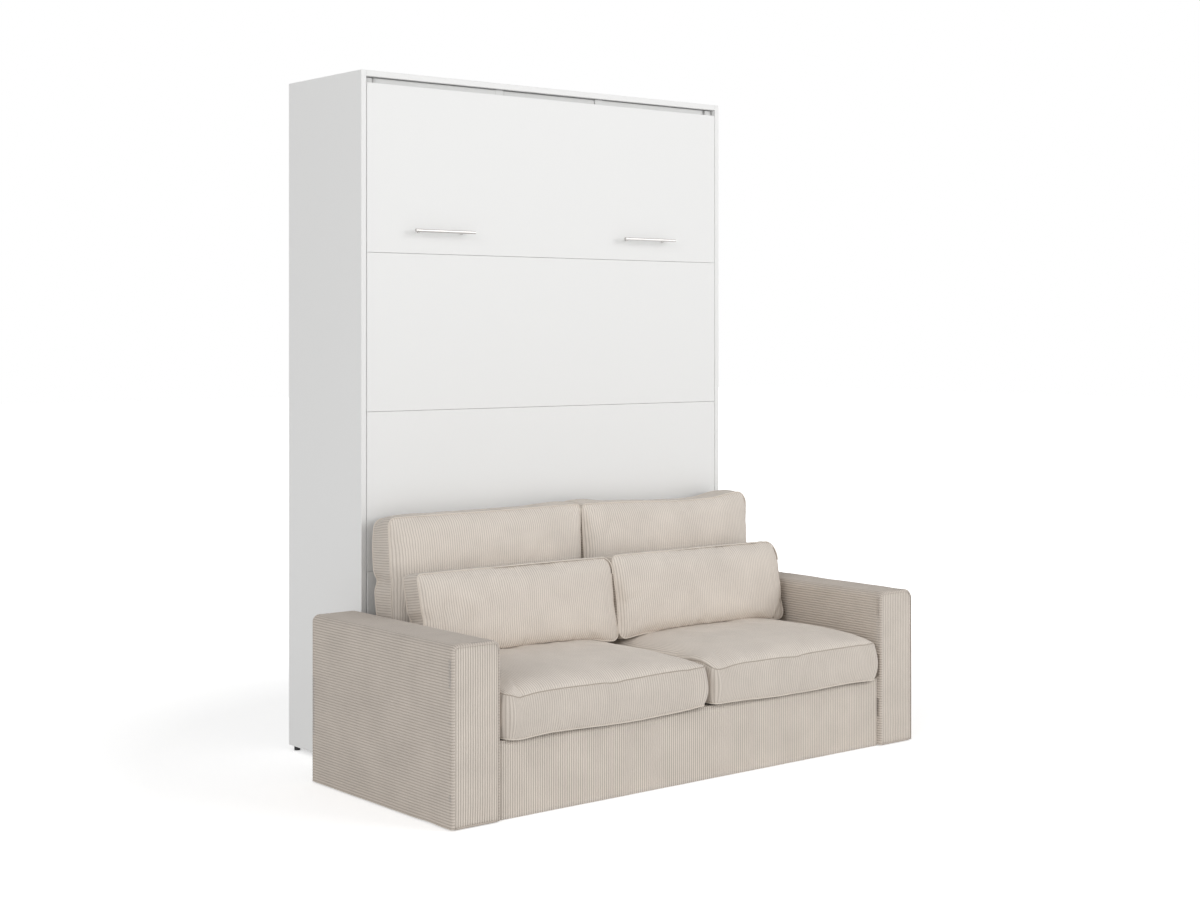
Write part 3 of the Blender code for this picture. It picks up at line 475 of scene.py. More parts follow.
def front_cloth(filled, seed, creases):
    """The front face: its points without wales, and its patch with them. Wales sway, the cloth is gathered
    along the welt, and it rises and falls broadly."""
    shape = filled.shape
    columns, levels = wales(-shape.w, shape.w)
    rows = crowded(1.0, round(2 * shape.h / (10 * MM)), 1.3)
    x = columns[None, :]
    half = shape.edge(x, rows[:, None])
    y = rows[:, None] * half
    from_side = shape.w - np.abs(x) + 0 * y
    from_end = half - np.abs(y)
    from_edge = np.minimum(from_side, from_end)

    sway = 0.6 * MM * waves(y + 0.6 * x, seed + 11, 26, 90)
    sway = sway + 2.6 * MM * waves(y - 0.3 * x, seed + 12, 120, 500)
    top = filled.face(columns, rows, 1, sway * fade(from_side, 30 * MM))

    at_ends = waves(x + 0 * y, seed, 20, 90) * np.exp(-np.maximum(from_end, 0) / (13 * MM))
    at_sides = waves(y + 0 * x, seed + 1, 20, 90) * np.exp(-np.maximum(from_side, 0) / (13 * MM))
    gather = 1.9 * MM * (at_ends + at_sides) * fade(from_edge, 5 * MM)
    broad = 1.6 * MM * waves(x + 0.35 * y, seed + 2, 90, 420)
    broad = broad * waves(y - 0.4 * x, seed + 3, 120, 400) * fade(from_edge, 60 * MM)
    groove = STRETCHED * RIB * (1 - levels) * fade(from_edge, 5 * MM, 0.25)
    rise = gather + broad - folds(x, y, creases) - groove
    cloth = filled.clamp(top + normals(top) * rise[..., None])
    nap = seed * 0.37  # so that each cushion has its own
    return top, patch(cloth, (x + nap, y + nap), 1 - STRETCHED * (1 - levels))


def boxing_cloth(filled, seed):
    """The band's patch: wales run from welt to welt, and the cloth puckers, most of all along the welts."""
    shape = filled.shape
    count = round(shape.around / PITCH)
    step = shape.around / count
    places = ((np.arange(count)[:, None] + PHASES) * step).ravel()
    levels = np.tile(LEVELS, count)
    heights = -crowded(1.0, max(9, round(shape.boxing / (9 * MM))), 1.35)
    band = filled.band(places, heights)
    up = heights[:, None] * shape.boxing / 2
    from_welt = (1 - np.abs(heights))[:, None] * shape.boxing / 2
    at_welts = waves(places, seed + 5, 20, 70, around=shape.around) * np.exp(-from_welt / (11 * MM))
    all_over = 0.8 * waves(places + 0.5 * up, seed + 6, 45, 160, around=shape.around)
    pucker = (at_welts + all_over) * 1.4 * MM * fade(from_welt, 5 * MM)
    groove = STRETCHED * RIB * (1 - levels) * fade(from_welt, 5 * MM, 0.25)
    cloth = filled.clamp(band + normals(band, True) * (pucker - groove)[..., None])
    nap = seed * 0.53
    wale = 1 - STRETCHED * (1 - levels)
    return patch(cloth, (places + nap, up + nap), wale, around=True, flip=True, slot=2)


def piped_welt(filled, welt, seed, sunk):
    """The piping round the front (welt 1) or rear (welt -1) face, a little lumpy. It stands out, or lies in a
    valley where it is sunk, and then takes the copy of the cloth painted much darker as the shade in that
    valley."""
    shape = filled.shape
    loop = np.linspace(0, shape.around, round(shape.around / (5 * MM)), endpoint=False)
    path = filled.band(loop, np.array([float(welt)]))[0]
    ahead = headings(path)
    rise = path - filled.band(loop, np.array([0.9 * welt]))[0]
    rise -= ahead * (rise * ahead).sum(1, keepdims=True)
    rise /= np.linalg.norm(rise, axis=1, keepdims=True)
    side = np.cross(ahead, rise) * welt
    radius, proud = (SUNK_PIPING, -0.3 * MM) if sunk else (PIPING, 0.9 * MM)
    lumps = 1 + 0.05 * waves(loop, seed + 8 + welt, 12, 60, around=shape.around)
    rings = tube(path + (side + rise) * proud, side, rise, radius * lumps[:, None, None])
    along = np.append(loop, shape.around)[:, None]
    fabric = (ROUND * PIPING, along)
    return patch(filled.clamp(rings), fabric, around=True, flip=welt > 0, slot=int(sunk))


def make_cushion(name, shape, place, clamp, seed, creases, valley=False):
    """Builds a cushion's cloth and piping, and returns the points of its front face. valley sinks the piping
    round that face and gives it the cloth painted darker as shade."""
    filled = Filled(shape, place, clamp)
    top, front = front_cloth(filled, seed, creases)
    rear = filled.face(np.linspace(-shape.w, shape.w, 60), np.linspace(-1, 1, 40), -1)
    patches = [front, patch(rear, flip=True, slot=1), boxing_cloth(filled, seed)]
    made = piece(name, patches, [cord_cloth, lining, shaded_band_cloth])
    welts = [piped_welt(filled, welt, seed, valley and welt > 0) for welt in (1, -1)]
    piping = piece(name + "_piping", welts, [shaded_piping_cloth, valley_shade_cloth])
    for obj in (made, piping):
        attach(obj, name)
    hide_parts(name)
    return top


def placed(shape, name, lean, shift):
    """The move from a cushion's own axes to the row frame, centred on its CAD node's box and shifted. The
    cushion stands and leans back by lean, or lies flat when lean is None."""
    low, high = corners_of(name)

    def turned(p):
        if lean is None:
            return p
        c, s = math.cos(lean), math.sin(lean)
        return np.stack([p[..., 0], p[..., 1] * s - p[..., 2] * c, p[..., 1] * c + p[..., 2] * s], -1)

    line = np.linspace(-1, 1, 60)
    parts = [shape.face(line[None, :] * shape.w, line[:, None], side) for side in (1, -1)]
    parts.append(shape.band(np.linspace(0, shape.around, 300), np.linspace(-1, 1, 9)))
    sample = np.concatenate([turned(part).reshape(-1, 3) for part in parts])
    move = (low + high) / 2 - (sample.min(0) + sample.max(0)) / 2 + np.array(shift)
    return lambda p: turned(p) + move


def level(top, upwards, outwards):
    """A face's level along the axis outwards, as a function of x and of the axis upwards: blended between the
    face's points, and the nearest edge's outside them."""
    across, up = top[len(top) // 2, :, 0], top[:, top.shape[1] // 2, upwards]
    values = top[..., outwards]

    def at(x, y):
        i = np.clip(np.searchsorted(across, x) - 1, 0, len(across) - 2)
        j = np.clip(np.searchsorted(up, y) - 1, 0, len(up) - 2)
        a = np.clip((x - across[i]) / (across[i + 1] - across[i]), 0, 1)
        b = np.clip((y - up[j]) / (up[j + 1] - up[j]), 0, 1)
        low = values[j, i] * (1 - a) + values[j, i + 1] * a
        return low * (1 - b) + (values[j + 1, i] * (1 - a) + values[j + 1, i + 1] * a) * b

    return at


# Finishes

# One corduroy throughout, here in copies whose colours carry painted light and shade: the cushions' faces,
# which look up or ahead, keep the lightest colour, and the other copies are painted darker as shade.
cord_cloth = corduroy("corduroy", "#efe6dc", "#9b9085")
# The boxing bands, painted darker as shade on their sides and fronts.
shaded_band_cloth = corduroy("corduroy_boxing_painted_shade", "#e2d9cf", "#968b80")
# The arms' caps and the front panel, upright: painted a little darker as shade, with less painted shade in
# their grooves.
shaded_upright_cloth = corduroy("corduroy_upright_painted_shade", "#e8dfd5", "#b0a69b")
# The arms' covers over their sides and tops: painted darker as shade, with less painted shade in their
# grooves.
shaded_wrap_cloth = corduroy("corduroy_wrapped_painted_shade", "#dad0c6", "#b4aa9f")
# The piping that stands out, painted a little darker as shade.
shaded_piping_cloth = corduroy("corduroy_piping", "#e4dbd0", "#958a7e")
# The seats' upper piping, painted much darker as the shade in the valley where it lies.
valley_shade_cloth = corduroy("corduroy_sunk_piping", "#b9aea2", "#958a7e")
# Spun-bonded polypropylene under and behind the cushions: thin, matt and warm grey.
lining = finish("lining_cloth", "#8d867c", 0.95)[0]
# Melamine on particle board, pressed: a very even white with a dull silk gloss.
melamine = finish("white_melamine", "#f0f0ef", 0.42)[0]
# Powder coat on steel tube, sprayed and baked.
coated = finish("grey_coated_steel", "#dededd", 0.5)[0]
# Turned and drawn bright steel.
bright = finish("bright_steel", "#c3c3c1", 0.28, 1.0)[0]
# Cast zinc, nickel plated and brushed: warm grey, soft highlights.
nickel = finish("satin_nickel", "#c8c6c4", 0.42, 1.0)[0]
# Stove-painted steel of the gas struts.
painted = finish("black_painted_steel", "#1b1b1c", 0.35)[0]
# Moulded polyamide.
plastic = finish("black_plastic", "#18181a", 0.55)[0]
# Rotary-cut birch veneers, glued and bent.
birch = finish("birch_plywood", "#d8bd92", 0.55)[0]
# Knitted polyester ticking.
ticking = finish("mattress_ticking", "#ecebe6", 0.9, Sheen_Weight=0.15)[0]
# Woven polypropylene webbing.
webbing = finish("grey_webbing", "#5f6163", 0.8)[0]

# CAD nodes take the finish that has their slot's name. Those in corduroy get the lining.
plain = (melamine, coated, bright, nickel, painted, plastic, birch, ticking, webbing)
by_slot = {made.name.split(".")[0]: made for made in plain}
by_slot["corduroy"] = lining
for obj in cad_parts.values():
    for number, made in enumerate(obj.data.materials):
        obj.data.materials[number] = by_slot[made.name.split(".")[0]]

# Edging of the front boards

EDGING = 1.2 * MM  # how far it stands out beside a board


def edging(board):
    """The ABS edging on a front board's two side edges: strips as wide as the board is thick."""
    low, high = corners_of(board)
    strips = []
    for x0, x1 in ((low[0] - EDGING, low[0]), (high[0], high[0] + EDGING)):
        loop = [(x0, low[1]), (x1, low[1]), (x1, high[1]), (x0, high[1])]
        rings = [[(*point, z) for point in loop] for z in (low[2], high[2])]
        strips.append(patch(np.array(rings), around=True))
        for ring, flip in ((rings[0], False), (rings[1], True)):
            a, b, c, d = ring
            strips.append(patch(np.array([[a, d], [b, c]]), flip=flip))
    made = piece(board + "_edging", strips, [melamine])
    made.data.shade_flat()
    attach(made, "bed")


# The bottom board goes without: with the bed down, its edging would touch the left pivot plate.
for board in ("bed_front_top", "bed_front_upper", "bed_front_lower"):
    edging(board)

# Cushions of the sofa

SIDES = {"left": -1, "right": 1}
TOUCH = 0.4 * MM  # kept clear between soft pieces
bed_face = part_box("bed_front_bottom")[0][1]
panel_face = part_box("sofa_front_panel")[0][1]
# How far the padding of each arm goes past its solid: outwards, inwards and up.
PADDING = {"left": (8 * MM, 7 * MM, 9 * MM), "right": (6 * MM, 0, 8 * MM)}
arm_inner = (
    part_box("sofa_arm_left")[1][0] + PADDING["left"][1],
    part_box("sofa_arm_right")[0][0] - PADDING["right"][1],
)

# The line where the seats meet bends to the right: from where, over what length, and how far.
BEND_START, BEND_LENGTH, BEND = -0.15, 0.42, 18 * MM
SEAT_DEPTH = 0.166  # from the lower piping to the crown
SEAT_BOXING = {"left": 0.117, "right": 0.112}
# The other cushions: boxing, crowns (front, rear), lean, how deep each sinks in, how much lower it is made.
KINDS = (
    ("back", 0.104, (0.036, 0.050), math.radians(3), 8 * MM, 5 * MM),
    ("lumbar", 0.072, (0.032, 0.042), math.radians(8.8), 10 * MM, 3 * MM),
)
SEEDS = {"seat": 10, "back": 57, "lumbar": 50}  # of each kind's unevenness, and for the right ones 20 more
# Corner radii in mm: lower right, upper right, upper left, lower left. A seat's lower side is its front.
CORNERS = {
    "seat_left": (26, 30, 40, 26),
    "seat_right": (30, 30, 30, 17),
    "back_left": (35, 20, 24, 35),
    "back_right": (35, 40, 18, 35),
    "lumbar_left": (28, 42, 16, 30),
    "lumbar_right": (28, 58, 22, 30),
}
# Each push in mm: its centre, radii and movement in the cushion's own axes.
PUSHES = {
    "seat_left": [
        ((400, -370, 0), (160, 240, 200), (21, 0, 0)),
        ((-385, -385, 0), (45, 52, 200), (36, 4, 0)),
        ((-385, -300, 60), (35, 45, 50), (0, 0, 12)),
        ((-330, -375, 60), (50, 30, 40), (0, 0, -4)),
        ((-320, -380, -60), (60, 30, 25), (0, 0, -6)),
        ((100, -380, -60), (150, 30, 25), (0, 0, -9)),
        ((50, -380, 60), (80, 30, 30), (0, 0, -4)),
        ((380, -380, -60), (50, 30, 25), (0, 0, 4)),
    ],
    "seat_right": [
        ((-400, -370, 0), (100, 240, 200), (14, 0, 0)),
        ((-385, -385, 0), (35, 45, 200), (18, 3, 0)),
        ((-385, -290, 60), (35, 50, 50), (0, 0, 12)),
        ((-370, -380, 60), (50, 30, 40), (0, 0, -13)),
        ((20, -380, -60), (160, 30, 25), (0, 0, -7)),
        ((380, -370, 60), (50, 70, 50), (-16, 0, 0)),
        ((380, -370, -60), (80, 50, 35), (-12, 0, -6)),
        ((0, 200, 100), (600, 220, 200), (0, 0, -7)),
        ((380, 150, 70), (60, 220, 50), (0, 0, -6)),
    ],
    "back_left": [
        ((300, 210, -40), (70, 30, 50), (0, 6, 0)),
        ((-390, 220, -55), (50, 50, 50), (12, -14, 0)),
        ((-370, 10, -20), (50, 14, 50), (12, 0, 0)),
        ((-370, 50, 55), (40, 250, 40), (-3, 0, -9)),
        ((0, -210, -52), (900, 100, 50), (0, 0, 26)),
    ],
    "back_right": [
        ((320, 210, -20), (50, 40, 80), (0, 10, 0)),
        ((100, 210, 0), (150, 60, 100), (0, -11, 0)),
        ((-310, 210, -40), (50, 40, 40), (0, 10, 0)),
        ((0, -210, -52), (900, 100, 50), (0, 0, 26)),
    ],
    "lumbar_left": [
        ((-370, -10, -10), (50, 16, 40), (10, 0, 0)),
        ((360, -120, 30), (50, 35, 40), (3, -12, 0)),
    ],
    "lumbar_right": [
        ((-370, -20, 30), (50, 30, 40), (6, 0, -4)),
        ((-360, -120, 30), (50, 30, 40), (0, -10, 0)),
        ((370, 100, 20), (40, 70, 60), (-10, 0, 0)),
        ((365, -90, 55), (28, 50, 40), (3, 0, -14)),
        ((350, -130, 30), (60, 30, 40), (0, -10, 0)),
    ],
}
# Each crease in mm: its place across and up, its length, width and depth. Then its angle in degrees.
CREASES = {
    "seat_left": [(-300, -330, 30, 6, 2.5, 70), (310, -300, 50, 8, 2.5, -60)],
    "seat_right": [(-310, -310, 40, 7, 3, 60), (50, -340, 30, 8, 2, 85)],
    "back_left": [(-250, 20, 100, 12, 3, 100), (200, 100, 60, 10, 2, 30)],
    "back_right": [(-280, 120, 50, 10, 3, 60), (100, 20, 100, 12, 2, 10)],
    "lumbar_left": [(-315, -20, 50, 8, 4, 75), (-250, -50, 50, 9, 3, 60), (330, -40, 40, 8, 3, 100)],
    "lumbar_right": [
        (-320, -10, 30, 7, 5, 15),
        (-290, -60, 50, 9, 3, 50),
        (320, 0, 50, 9, 3, 95),
        (330, -110, 35, 6, 6, 55),
    ],
}


def boundary(y):
    """Where the two seats meet: in the middle, then to the right by BEND n^2 (3 - 2 n) towards the front."""
    near = fade(BEND_START - y, BEND_LENGTH)
    return BEND * near * near * (3 - 2 * near)


def seat_clamp(sign, deck):
    """Holds a seat on its side of the boundary, between the arms, above the deck and ahead of the bed. It may
    sag below the deck past the front panel."""

    def clamp(p):
        out = p.copy()
        middle = boundary(out[..., 1])
        out[..., 0] = middle + sign * np.maximum(sign * (out[..., 0] - middle), TOUCH)
        out[..., 0] = np.clip(out[..., 0], arm_inner[0] + 2 * TOUCH, arm_inner[1] - 2 * TOUCH)
        sag = np.clip((panel_face - 3 * MM - out[..., 1]) * 0.5, 0, 9 * MM)
        out[..., 2] = np.maximum(out[..., 2], deck - sag)
        out[..., 1] = np.minimum(out[..., 1], bed_face - TOUCH)
        return out

    return clamp


def seat(side, number):
    """One seat cushion. Returns its level as a function of x and y."""
    name = "seat_cushion_" + side
    low, high = corners_of(name)
    boxing = SEAT_BOXING[side]
    size, crowns = (high[0] - low[0] - 6 * MM, high[1] - low[1] - 16 * MM), (SEAT_DEPTH - boxing, 0.0)
    draw, powers, pushes = (3 * MM, 1 * MM), (3.5, 0.55), PUSHES["seat_" + side]
    shape = Cushion(size, boxing, crowns, CORNERS["seat_" + side], 12 * MM, draw, powers, pushes)
    place = placed(shape, name, None, (0, -2 * MM, 0))
    clamp = seat_clamp(SIDES[side], low[2])
    seed = SEEDS["seat"] + 20 * number
    top = make_cushion(name, shape, place, clamp, seed, CREASES["seat_" + side], valley=True)
    return level(top, 1, 2)


def bed_front(x, z):
    """The bed's front, at one level throughout."""
    return bed_face


def standing_clamp(sign, below, behind):
    """Holds a standing cushion on its side of the middle, ahead of what is behind it and above its seat."""

    def clamp(p):
        out = p.copy()
        out[..., 0] = sign * np.maximum(sign * out[..., 0], TOUCH)
        out[..., 1] = np.minimum(out[..., 1], behind(out[..., 0], out[..., 2]) - TOUCH)
        out[..., 2] = np.maximum(out[..., 2], below(out[..., 0], out[..., 1]) + TOUCH)
        return out

    return clamp


def standing(side, number, below):
    """The back cushion on one seat, in front of the bed, and then the lumbar cushion in front of that."""
    sign = SIDES[side]
    behind = bed_front
    for kind, boxing, crowns, lean, sunk, lower in KINDS:
        name = kind + "_cushion_" + side
        key = kind + "_" + side
        low, high = corners_of(name)
        tall = (high[2] - low[2]) / math.cos(lean) - boxing * math.tan(lean)
        size = (high[0] - low[0] + 5 * MM, tall - lower + sunk)
        shape = Cushion(
            size, boxing, crowns, CORNERS[key], 3.5 * MM, (3 * MM, -2 * MM), pushes=PUSHES[key]
        )
        place = placed(shape, name, lean, (sign * 1 * MM, 0, -sunk / 2))
        seed = SEEDS[kind] + 20 * number
        top = make_cushion(name, shape, place, standing_clamp(sign, below, behind), seed, CREASES[key])
        behind = level(top, 2, 1)


seats = [seat(side, number) for number, side in enumerate(SIDES)]
for number, side in enumerate(SIDES):
    standing(side, number, seats[number])

# Arms and front panel

# Radii of each arm's upper right and upper left edges.
ARM_EDGES = {"left": (26 * MM, 22 * MM), "right": (34 * MM, 22 * MM)}


def rounded_path(width, height, radii):
    """A closed rounded rectangle's points and their places along it, from the middle of the low side towards
    plus x. radii are the corners' in that order."""
    turn = np.linspace(0, math.pi / 2, 24)
    parts = [np.array([[0, 0]])]
    ends = ((1, 0, -math.pi / 2), (1, 1, 0), (-1, 1, math.pi / 2), (-1, 0, math.pi))
    for (sx, sy, begin), r in zip(ends, radii):
        a = begin + turn
        middle = np.array([sx * (width / 2 - r), r if sy == 0 else height - r])
        parts.append(middle + r * np.stack([np.cos(a), np.sin(a)], -1))
    parts.append(np.array([[0, 0]]))
    ring = np.concatenate(parts)
    at = np.concatenate([[0], np.cumsum(np.linalg.norm(np.diff(ring, axis=0), axis=1))])
    return ring, at


def along_path(ring, at, places):
    """Points and outward normals on a closed path."""

    def on_ring(where):
        return np.stack([np.interp(np.mod(where, at[-1]), at, ring[:, k]) for k in (0, 1)], -1)

    d = on_ring(places + 0.4 * MM) - on_ring(places - 0.4 * MM)
    d /= np.linalg.norm(d, axis=1, keepdims=True)
    return on_ring(places), np.stack([d[:, 1], -d[:, 0]], -1)


def bent_rows(rows, rounding):
    """Rows along a cover that bends over each end by rounding, and how far each row is inset."""
    turn = np.linspace(math.pi / 2, 0, 6)
    reach, inset = rounding * np.sin(turn), rounding * (1 - np.cos(turn))
    ends = np.concatenate([rows[0] - reach, rows, rows[-1] + reach[::-1]])
    return ends, np.concatenate([inset, np.zeros(len(rows)), inset[::-1]])


def arm_cover(width, height, radii):
    """An arm cover's outline: points, outward normals, and the wales' heights and places. Wales cover the
    sides and the top, and plain cloth closes it underneath."""
    ring, at = rounded_path(width, height, radii)
    top_middle = at[-1] / 2
    low = width / 2 + 1 * MM
    places, levels = wales(low - top_middle, at[-1] - low - top_middle, -PITCH / 2)
    under = np.linspace(at[-1] - low, at[-1] + low, 10)[1:-1]
    places = np.concatenate([places + top_middle, under])
    levels = np.concatenate([levels, np.full(len(under), 0.6)])
    return *along_path(ring, at, places), levels, places


def arm_cap(width, height, radii, under, sign):
    """An arm's cap: places across and up, the wales' heights and how far it stands back. Its edges lie under
    the cover's, and it bulges a little in the middle."""
    half = width / 2 - under
    columns, levels = wales(-half, half, -PITCH / 2)
    corner = np.where(columns > 0, radii[1], radii[2]) - under
    past = np.clip(np.abs(columns) - (half - corner), 0, corner)
    tall = height - under - corner + np.sqrt(corner**2 - past**2)
    share = np.linspace(0, 1, 40)[:, None]
    z = 4 * MM + share * (tall - 4 * MM)
    across = np.cos(columns / width * math.pi)
    bulge = 1.6 * MM * np.sin(share * math.pi) ** 0.5 * across
    bulge = bulge + 0.7 * MM * waves(z, 15 + sign, 80, 300) * across**2
    back = RIB * (1 - levels) * fade(half - np.abs(columns), 4 * MM, 0.2) - bulge
    return columns + 0 * z, z, levels, back


def arm(side):
    """One sofa arm: the cover's wales run back over the sides and the top, and the caps' wales run down, in
    line with those of the top."""
    sign = SIDES[side]
    name = "sofa_arm_" + side
    low, high = corners_of(name)
    outwards, inwards, upwards = PADDING[side]
    low[0] -= outwards if side == "left" else inwards
    high[0] += inwards if side == "left" else outwards
    high[2] += upwards
    width, height = high[0] - low[0], high[2] - low[2]
    x = (low[0] + high[0]) / 2
    rounding = 8 * MM
    radii = (4 * MM, *ARM_EDGES[side], 4 * MM)
    p, n, levels, places = arm_cover(width, height, radii)
    rows = np.linspace(low[1] + rounding, high[1] - rounding, 46)
    ends, inset = bent_rows(rows, rounding)
    straight = np.pad(np.ones(len(rows)), (len(ends) - len(rows)) // 2)[:, None]
    soft = (
        1.0 * MM
        * waves(ends[:, None] + 0.3 * places, 5 + sign, 120, 500)
        * waves(places - 0.2 * ends[:, None], 9 + sign, 150, 500)
        * straight
    )
    off = np.minimum(soft, 0.6 * MM) - (inset[:, None] + RIB * (1 - levels))
    xz = p + n * off[..., None]
    grid = np.stack([x + xz[..., 0], ends[:, None] + 0 * off, low[2] + xz[..., 1]], -1)
    patches = [patch(grid, (places, ends[:, None]), levels, around=True, flip=True)]

    columns, z, levels, back = arm_cap(width, height, radii, rounding - 3 * MM, sign)
    nap = 3.3  # for other nap than the cover has
    for y, flip in ((low[1] + 1.6 * MM + back, False), (high[1] - 1.6 * MM - back, True)):
        cap = np.stack([x + columns, y, low[2] + z], -1)
        patches.append(patch(cap, (columns + nap, z + nap), levels, flip=flip, slot=1))
    made = piece(name, patches, [shaded_wrap_cloth, shaded_upright_cloth])
    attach(made, "cabinet_and_sofa")
    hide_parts(name)


for side in SIDES:
    arm(side)


def front_panel():
    """The sofa's front: a board wrapped in corduroy with upright wales, rounded at its upright edges."""
    name = "sofa_front_panel"
    low, high = corners_of(name)
    low[0], high[0] = arm_inner[0] + TOUCH, arm_inner[1] - TOUCH
    x, depth = (low[0] + high[0]) / 2, high[1] - low[1]
    rounding = 4 * MM
    ring, at = rounded_path(high[0] - low[0], depth, (3 * MM, 3 * MM, 4 * MM, 13 * MM))
    places, levels = wales(-at[-1] / 2, at[-1] / 2)
    places, levels = places[:-1], levels[:-1]
    p, n = along_path(ring, at, places)
    ends, inset = bent_rows(np.linspace(low[2] + rounding, high[2] - rounding, 18), rounding)
    soft = 0.5 * MM * waves(places + 0.2 * ends[:, None], 4, 90, 500)
    off = np.minimum(soft - (inset[:, None] + RIB * (1 - levels)), 0.3 * MM)
    xy = p + n * off[..., None]
    grid = np.stack([x + xy[..., 0], low[1] + xy[..., 1], ends[:, None] + 0 * off], -1)
    nap = 7.7
    patches = [patch(grid, (places + nap, ends[:, None] + nap), levels, around=True)]
    for number, flip in ((0, True), (-1, False)):
        edge = grid[number]
        middle = edge * np.array([0.97, 1, 1])
        middle[:, 1] = low[1] + depth / 2
        patches.append(patch(np.stack([edge, middle]), around=True, flip=flip))
    made = piece(name, patches, [shaded_upright_cloth])
    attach(made, "cabinet_and_sofa")
    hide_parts(name)


front_panel()

# Mattress and its strap


def quilting(x, z):
    """The quilted top's height: diamonds between crossing stitch lines, sqrt |sin(pi a) sin(pi b)|."""
    a, b = (x + z) / 0.11, (x - z) / 0.11
    return np.sqrt(np.abs(np.sin(math.pi * a) * np.sin(math.pi * b)))


def mattress():
    """A foam mattress: crowned quilted front with piped edges, plain flat back."""
    name = "mattress"
    low, high = corners_of(name)
    width, depth, height = high - low - np.array([8, 12, 8]) * MM
    shape = Cushion((width, height), depth, (10 * MM, 0), (40,) * 4, 4 * MM, (0, 0))
    middle = (low + high) / 2 + np.array([0, -5 * MM, 0])

    def place(p):
        return np.stack([-p[..., 0], p[..., 2], p[..., 1]], -1) + middle

    def clamp(p):
        return np.clip(p, low, high + np.array([0, 2 * MM, 0]))

    x, rows = np.linspace(-shape.w, shape.w, 130)[None, :], np.linspace(-1, 1, 186)[:, None]
    top = place(shape.face(x, rows, 1))
    half = shape.edge(x, rows)
    y = rows * half
    gap = np.minimum(shape.w - np.abs(x), half - np.abs(y))
    top = top - normals(top) * (4 * MM * (1 - quilting(x, y)) * fade(gap, 25 * MM))[..., None]
    across, up = np.linspace(-shape.w, shape.w, 30)[None, :], np.linspace(-1, 1, 40)[:, None]
    under = place(shape.face(across, up, -1))
    places = np.linspace(0, shape.around, 900, endpoint=False)
    band = place(shape.band(places, np.linspace(1, -1, 12)))
    patches = [
        patch(clamp(top), (x, y)),
        patch(clamp(under), flip=True),
        patch(clamp(band), around=True, flip=True),
    ]
    made = piece(name, patches, [ticking])
    tubes = []
    for welt in (1, -1):
        path = place(shape.band(places, np.array([float(welt)])))[0]
        rise = np.array([0.0, 1.0, 0.0]) * np.ones((len(path), 1))
        side = np.cross(headings(path), rise)
        tubes.append(patch(clamp(tube(path, side, rise, 3 * MM)), around=True, flip=True))
    piping = piece("mattress_piping", tubes, [webbing])
    for obj in (made, piping):
        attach(obj, "bed")
    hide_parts(name)


mattress()


def strap():
    """Webbing over the mattress, from one side of the bed frame to the other, rounded at both edges."""
    low, high = corners_of("mattress_strap")
    width = high[0] - low[0]
    ring, at = rounded_path(width, high[1] - low[1], (0.1 * MM, 14 * MM, 14 * MM, 0.1 * MM))
    p, n = along_path(ring, at, np.linspace(width / 2, at[-1] - width / 2, 260))
    n[0], n[-1] = (1, 0), (-1, 0)  # square ends
    z = np.linspace(low[2], high[2], 9)[:, None]
    inwards = np.stack([n[:, 0], n[:, 1], 0 * n[:, 0]], -1) * 1.8 * MM
    x = (low[0] + high[0]) / 2 + p[:, 0]
    outer = np.stack([x + 0 * z, low[1] + p[:, 1] + 0 * z, z + 0 * x], -1)
    loop = np.concatenate([outer, (outer - inwards)[::-1], outer[:1]])
    made = piece("mattress_strap", [patch(loop)], [webbing])
    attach(made, "bed")
    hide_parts("mattress_strap")


strap()

# Floor, backdrop, light and camera

FLOOR_REACH = 30.0
FLOOR_DROP = 1 * MM  # below the feet
WORLD_LIGHT = 0.42
# The floor's own glow near and far, and how far: past the lamps' reach it has to be white by itself.
GLOW, GLOW_RANGE = (0.45, 0.9), (1.4, 3.4)
# Each lamp's place, aim, size and power.
LAMPS = {
    "key": ((5.5, -9.2, 4.4), (0, 0, 1.0), 6.0, 410),
    "fill": ((-10.0, -5.5, 4.2), (0, 0, 1.0), 6.0, 350),
}
# The camera fitted to the photograph. The first four are lengths in the photograph's pixels.
PHOTO_WIDTH = 1200
FOCAL_LENGTH = 1906.65
PHOTO_MIDDLE, HORIZON = 450.5, 332.47  # from its upper edge
FILM_WIDTH = 36  # in mm
EYE = (-3.896, -4.8794, 1.361)
EYE_TURN = -39.099  # in degrees, from plus y towards plus x


def seen_rays(tree):
    """One for rays from the camera and those that glossy and clear surfaces send on, zero for the rest."""
    rays = node(tree, "LightPath").outputs
    pair = {0: rays["Is Camera Ray"], 1: rays["Is Glossy Ray"]}
    both = node(tree, "Math", pair, operation="MAXIMUM").outputs[0]
    return node(tree, "Math", {0: both, 1: rays["Is Transmission Ray"]}, operation="MAXIMUM").outputs[0]


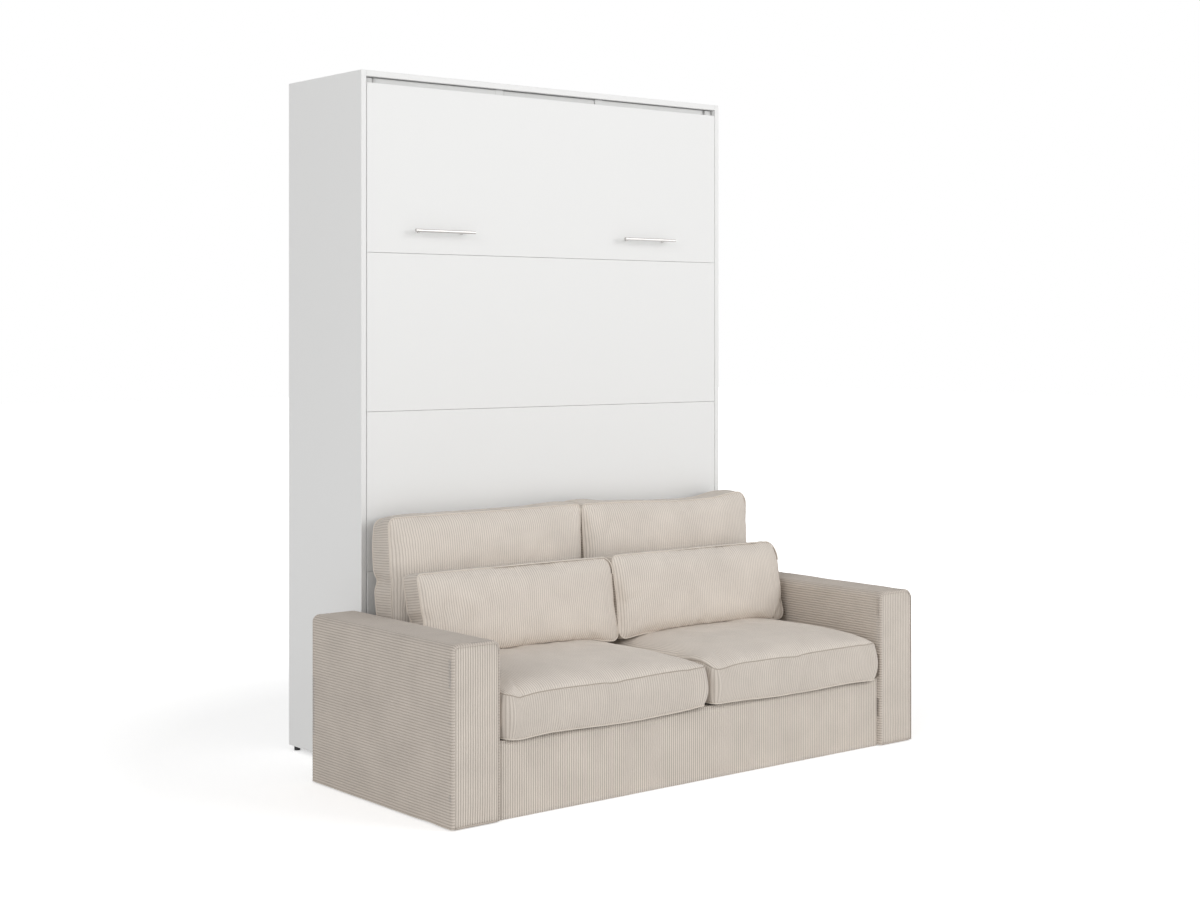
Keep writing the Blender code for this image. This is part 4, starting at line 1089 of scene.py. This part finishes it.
# A matt white floor that glows for seen rays, more with the distance from the object.
floor_finish, tree, shader = finish("studio_floor", "#ffffff", 0.9, Specular_IOR_Level=0.0)
spot = node(tree, "NewGeometry").outputs["Position"]
away = node(tree, "VectorMath", {0: spot}, operation="LENGTH").outputs["Value"]
glow = mapped(tree, away, *GLOW_RANGE, *GLOW)
lift = node(tree, "Math", {0: seen_rays(tree), 1: glow}, operation="MULTIPLY")
shader.inputs["Emission Color"].default_value = (1, 1, 1, 1)
tree.links.new(lift.outputs[0], shader.inputs["Emission Strength"])
signs = ((-1, -1), (1, -1), (1, 1), (-1, 1))
mesh = bpy.data.meshes.new("studio_floor")
mesh.from_pydata([(x * FLOOR_REACH, y * FLOOR_REACH, -FLOOR_DROP) for x, y in signs], [], [(0, 1, 2, 3)])
mesh.materials.append(floor_finish)
add("studio_floor", mesh)

# An even soft light from all round, seen as plain white.
world = bpy.data.worlds.new("studio")
bpy.context.scene.world = world
world.use_nodes = True
tree = world.node_tree
tree.nodes.clear()
lit = node(tree, "Background", {"Color": (1, 1, 1, 1), "Strength": WORLD_LIGHT})
seen = node(tree, "Background", {"Color": (1, 1, 1, 1), "Strength": 1.0})
mixed = node(tree, "MixShader", {0: seen_rays(tree), 1: lit.outputs[0], 2: seen.outputs[0]})
node(tree, "OutputWorld", {"Surface": mixed.outputs[0]})

for name, (place, aim, size, power) in LAMPS.items():
    lamp = bpy.data.lights.new(name, "AREA")
    lamp.shape, lamp.size, lamp.energy = "SQUARE", size, power
    obj = add(name, lamp)
    obj.location = place
    obj.rotation_euler = (Vector(aim) - obj.location).to_track_quat("-Z", "Y").to_euler()

camera = bpy.data.cameras.new("camera")
camera.sensor_width = FILM_WIDTH
camera.lens = FILM_WIDTH * FOCAL_LENGTH / PHOTO_WIDTH
camera.shift_y = -(PHOTO_MIDDLE - HORIZON) / PHOTO_WIDTH
eye = add("camera", camera)
eye.location = EYE
eye.rotation_euler = (math.pi / 2, 0, math.radians(EYE_TURN))
bpy.context.scene.camera = eye
bpy.context.scene.view_settings.view_transform = "Standard"
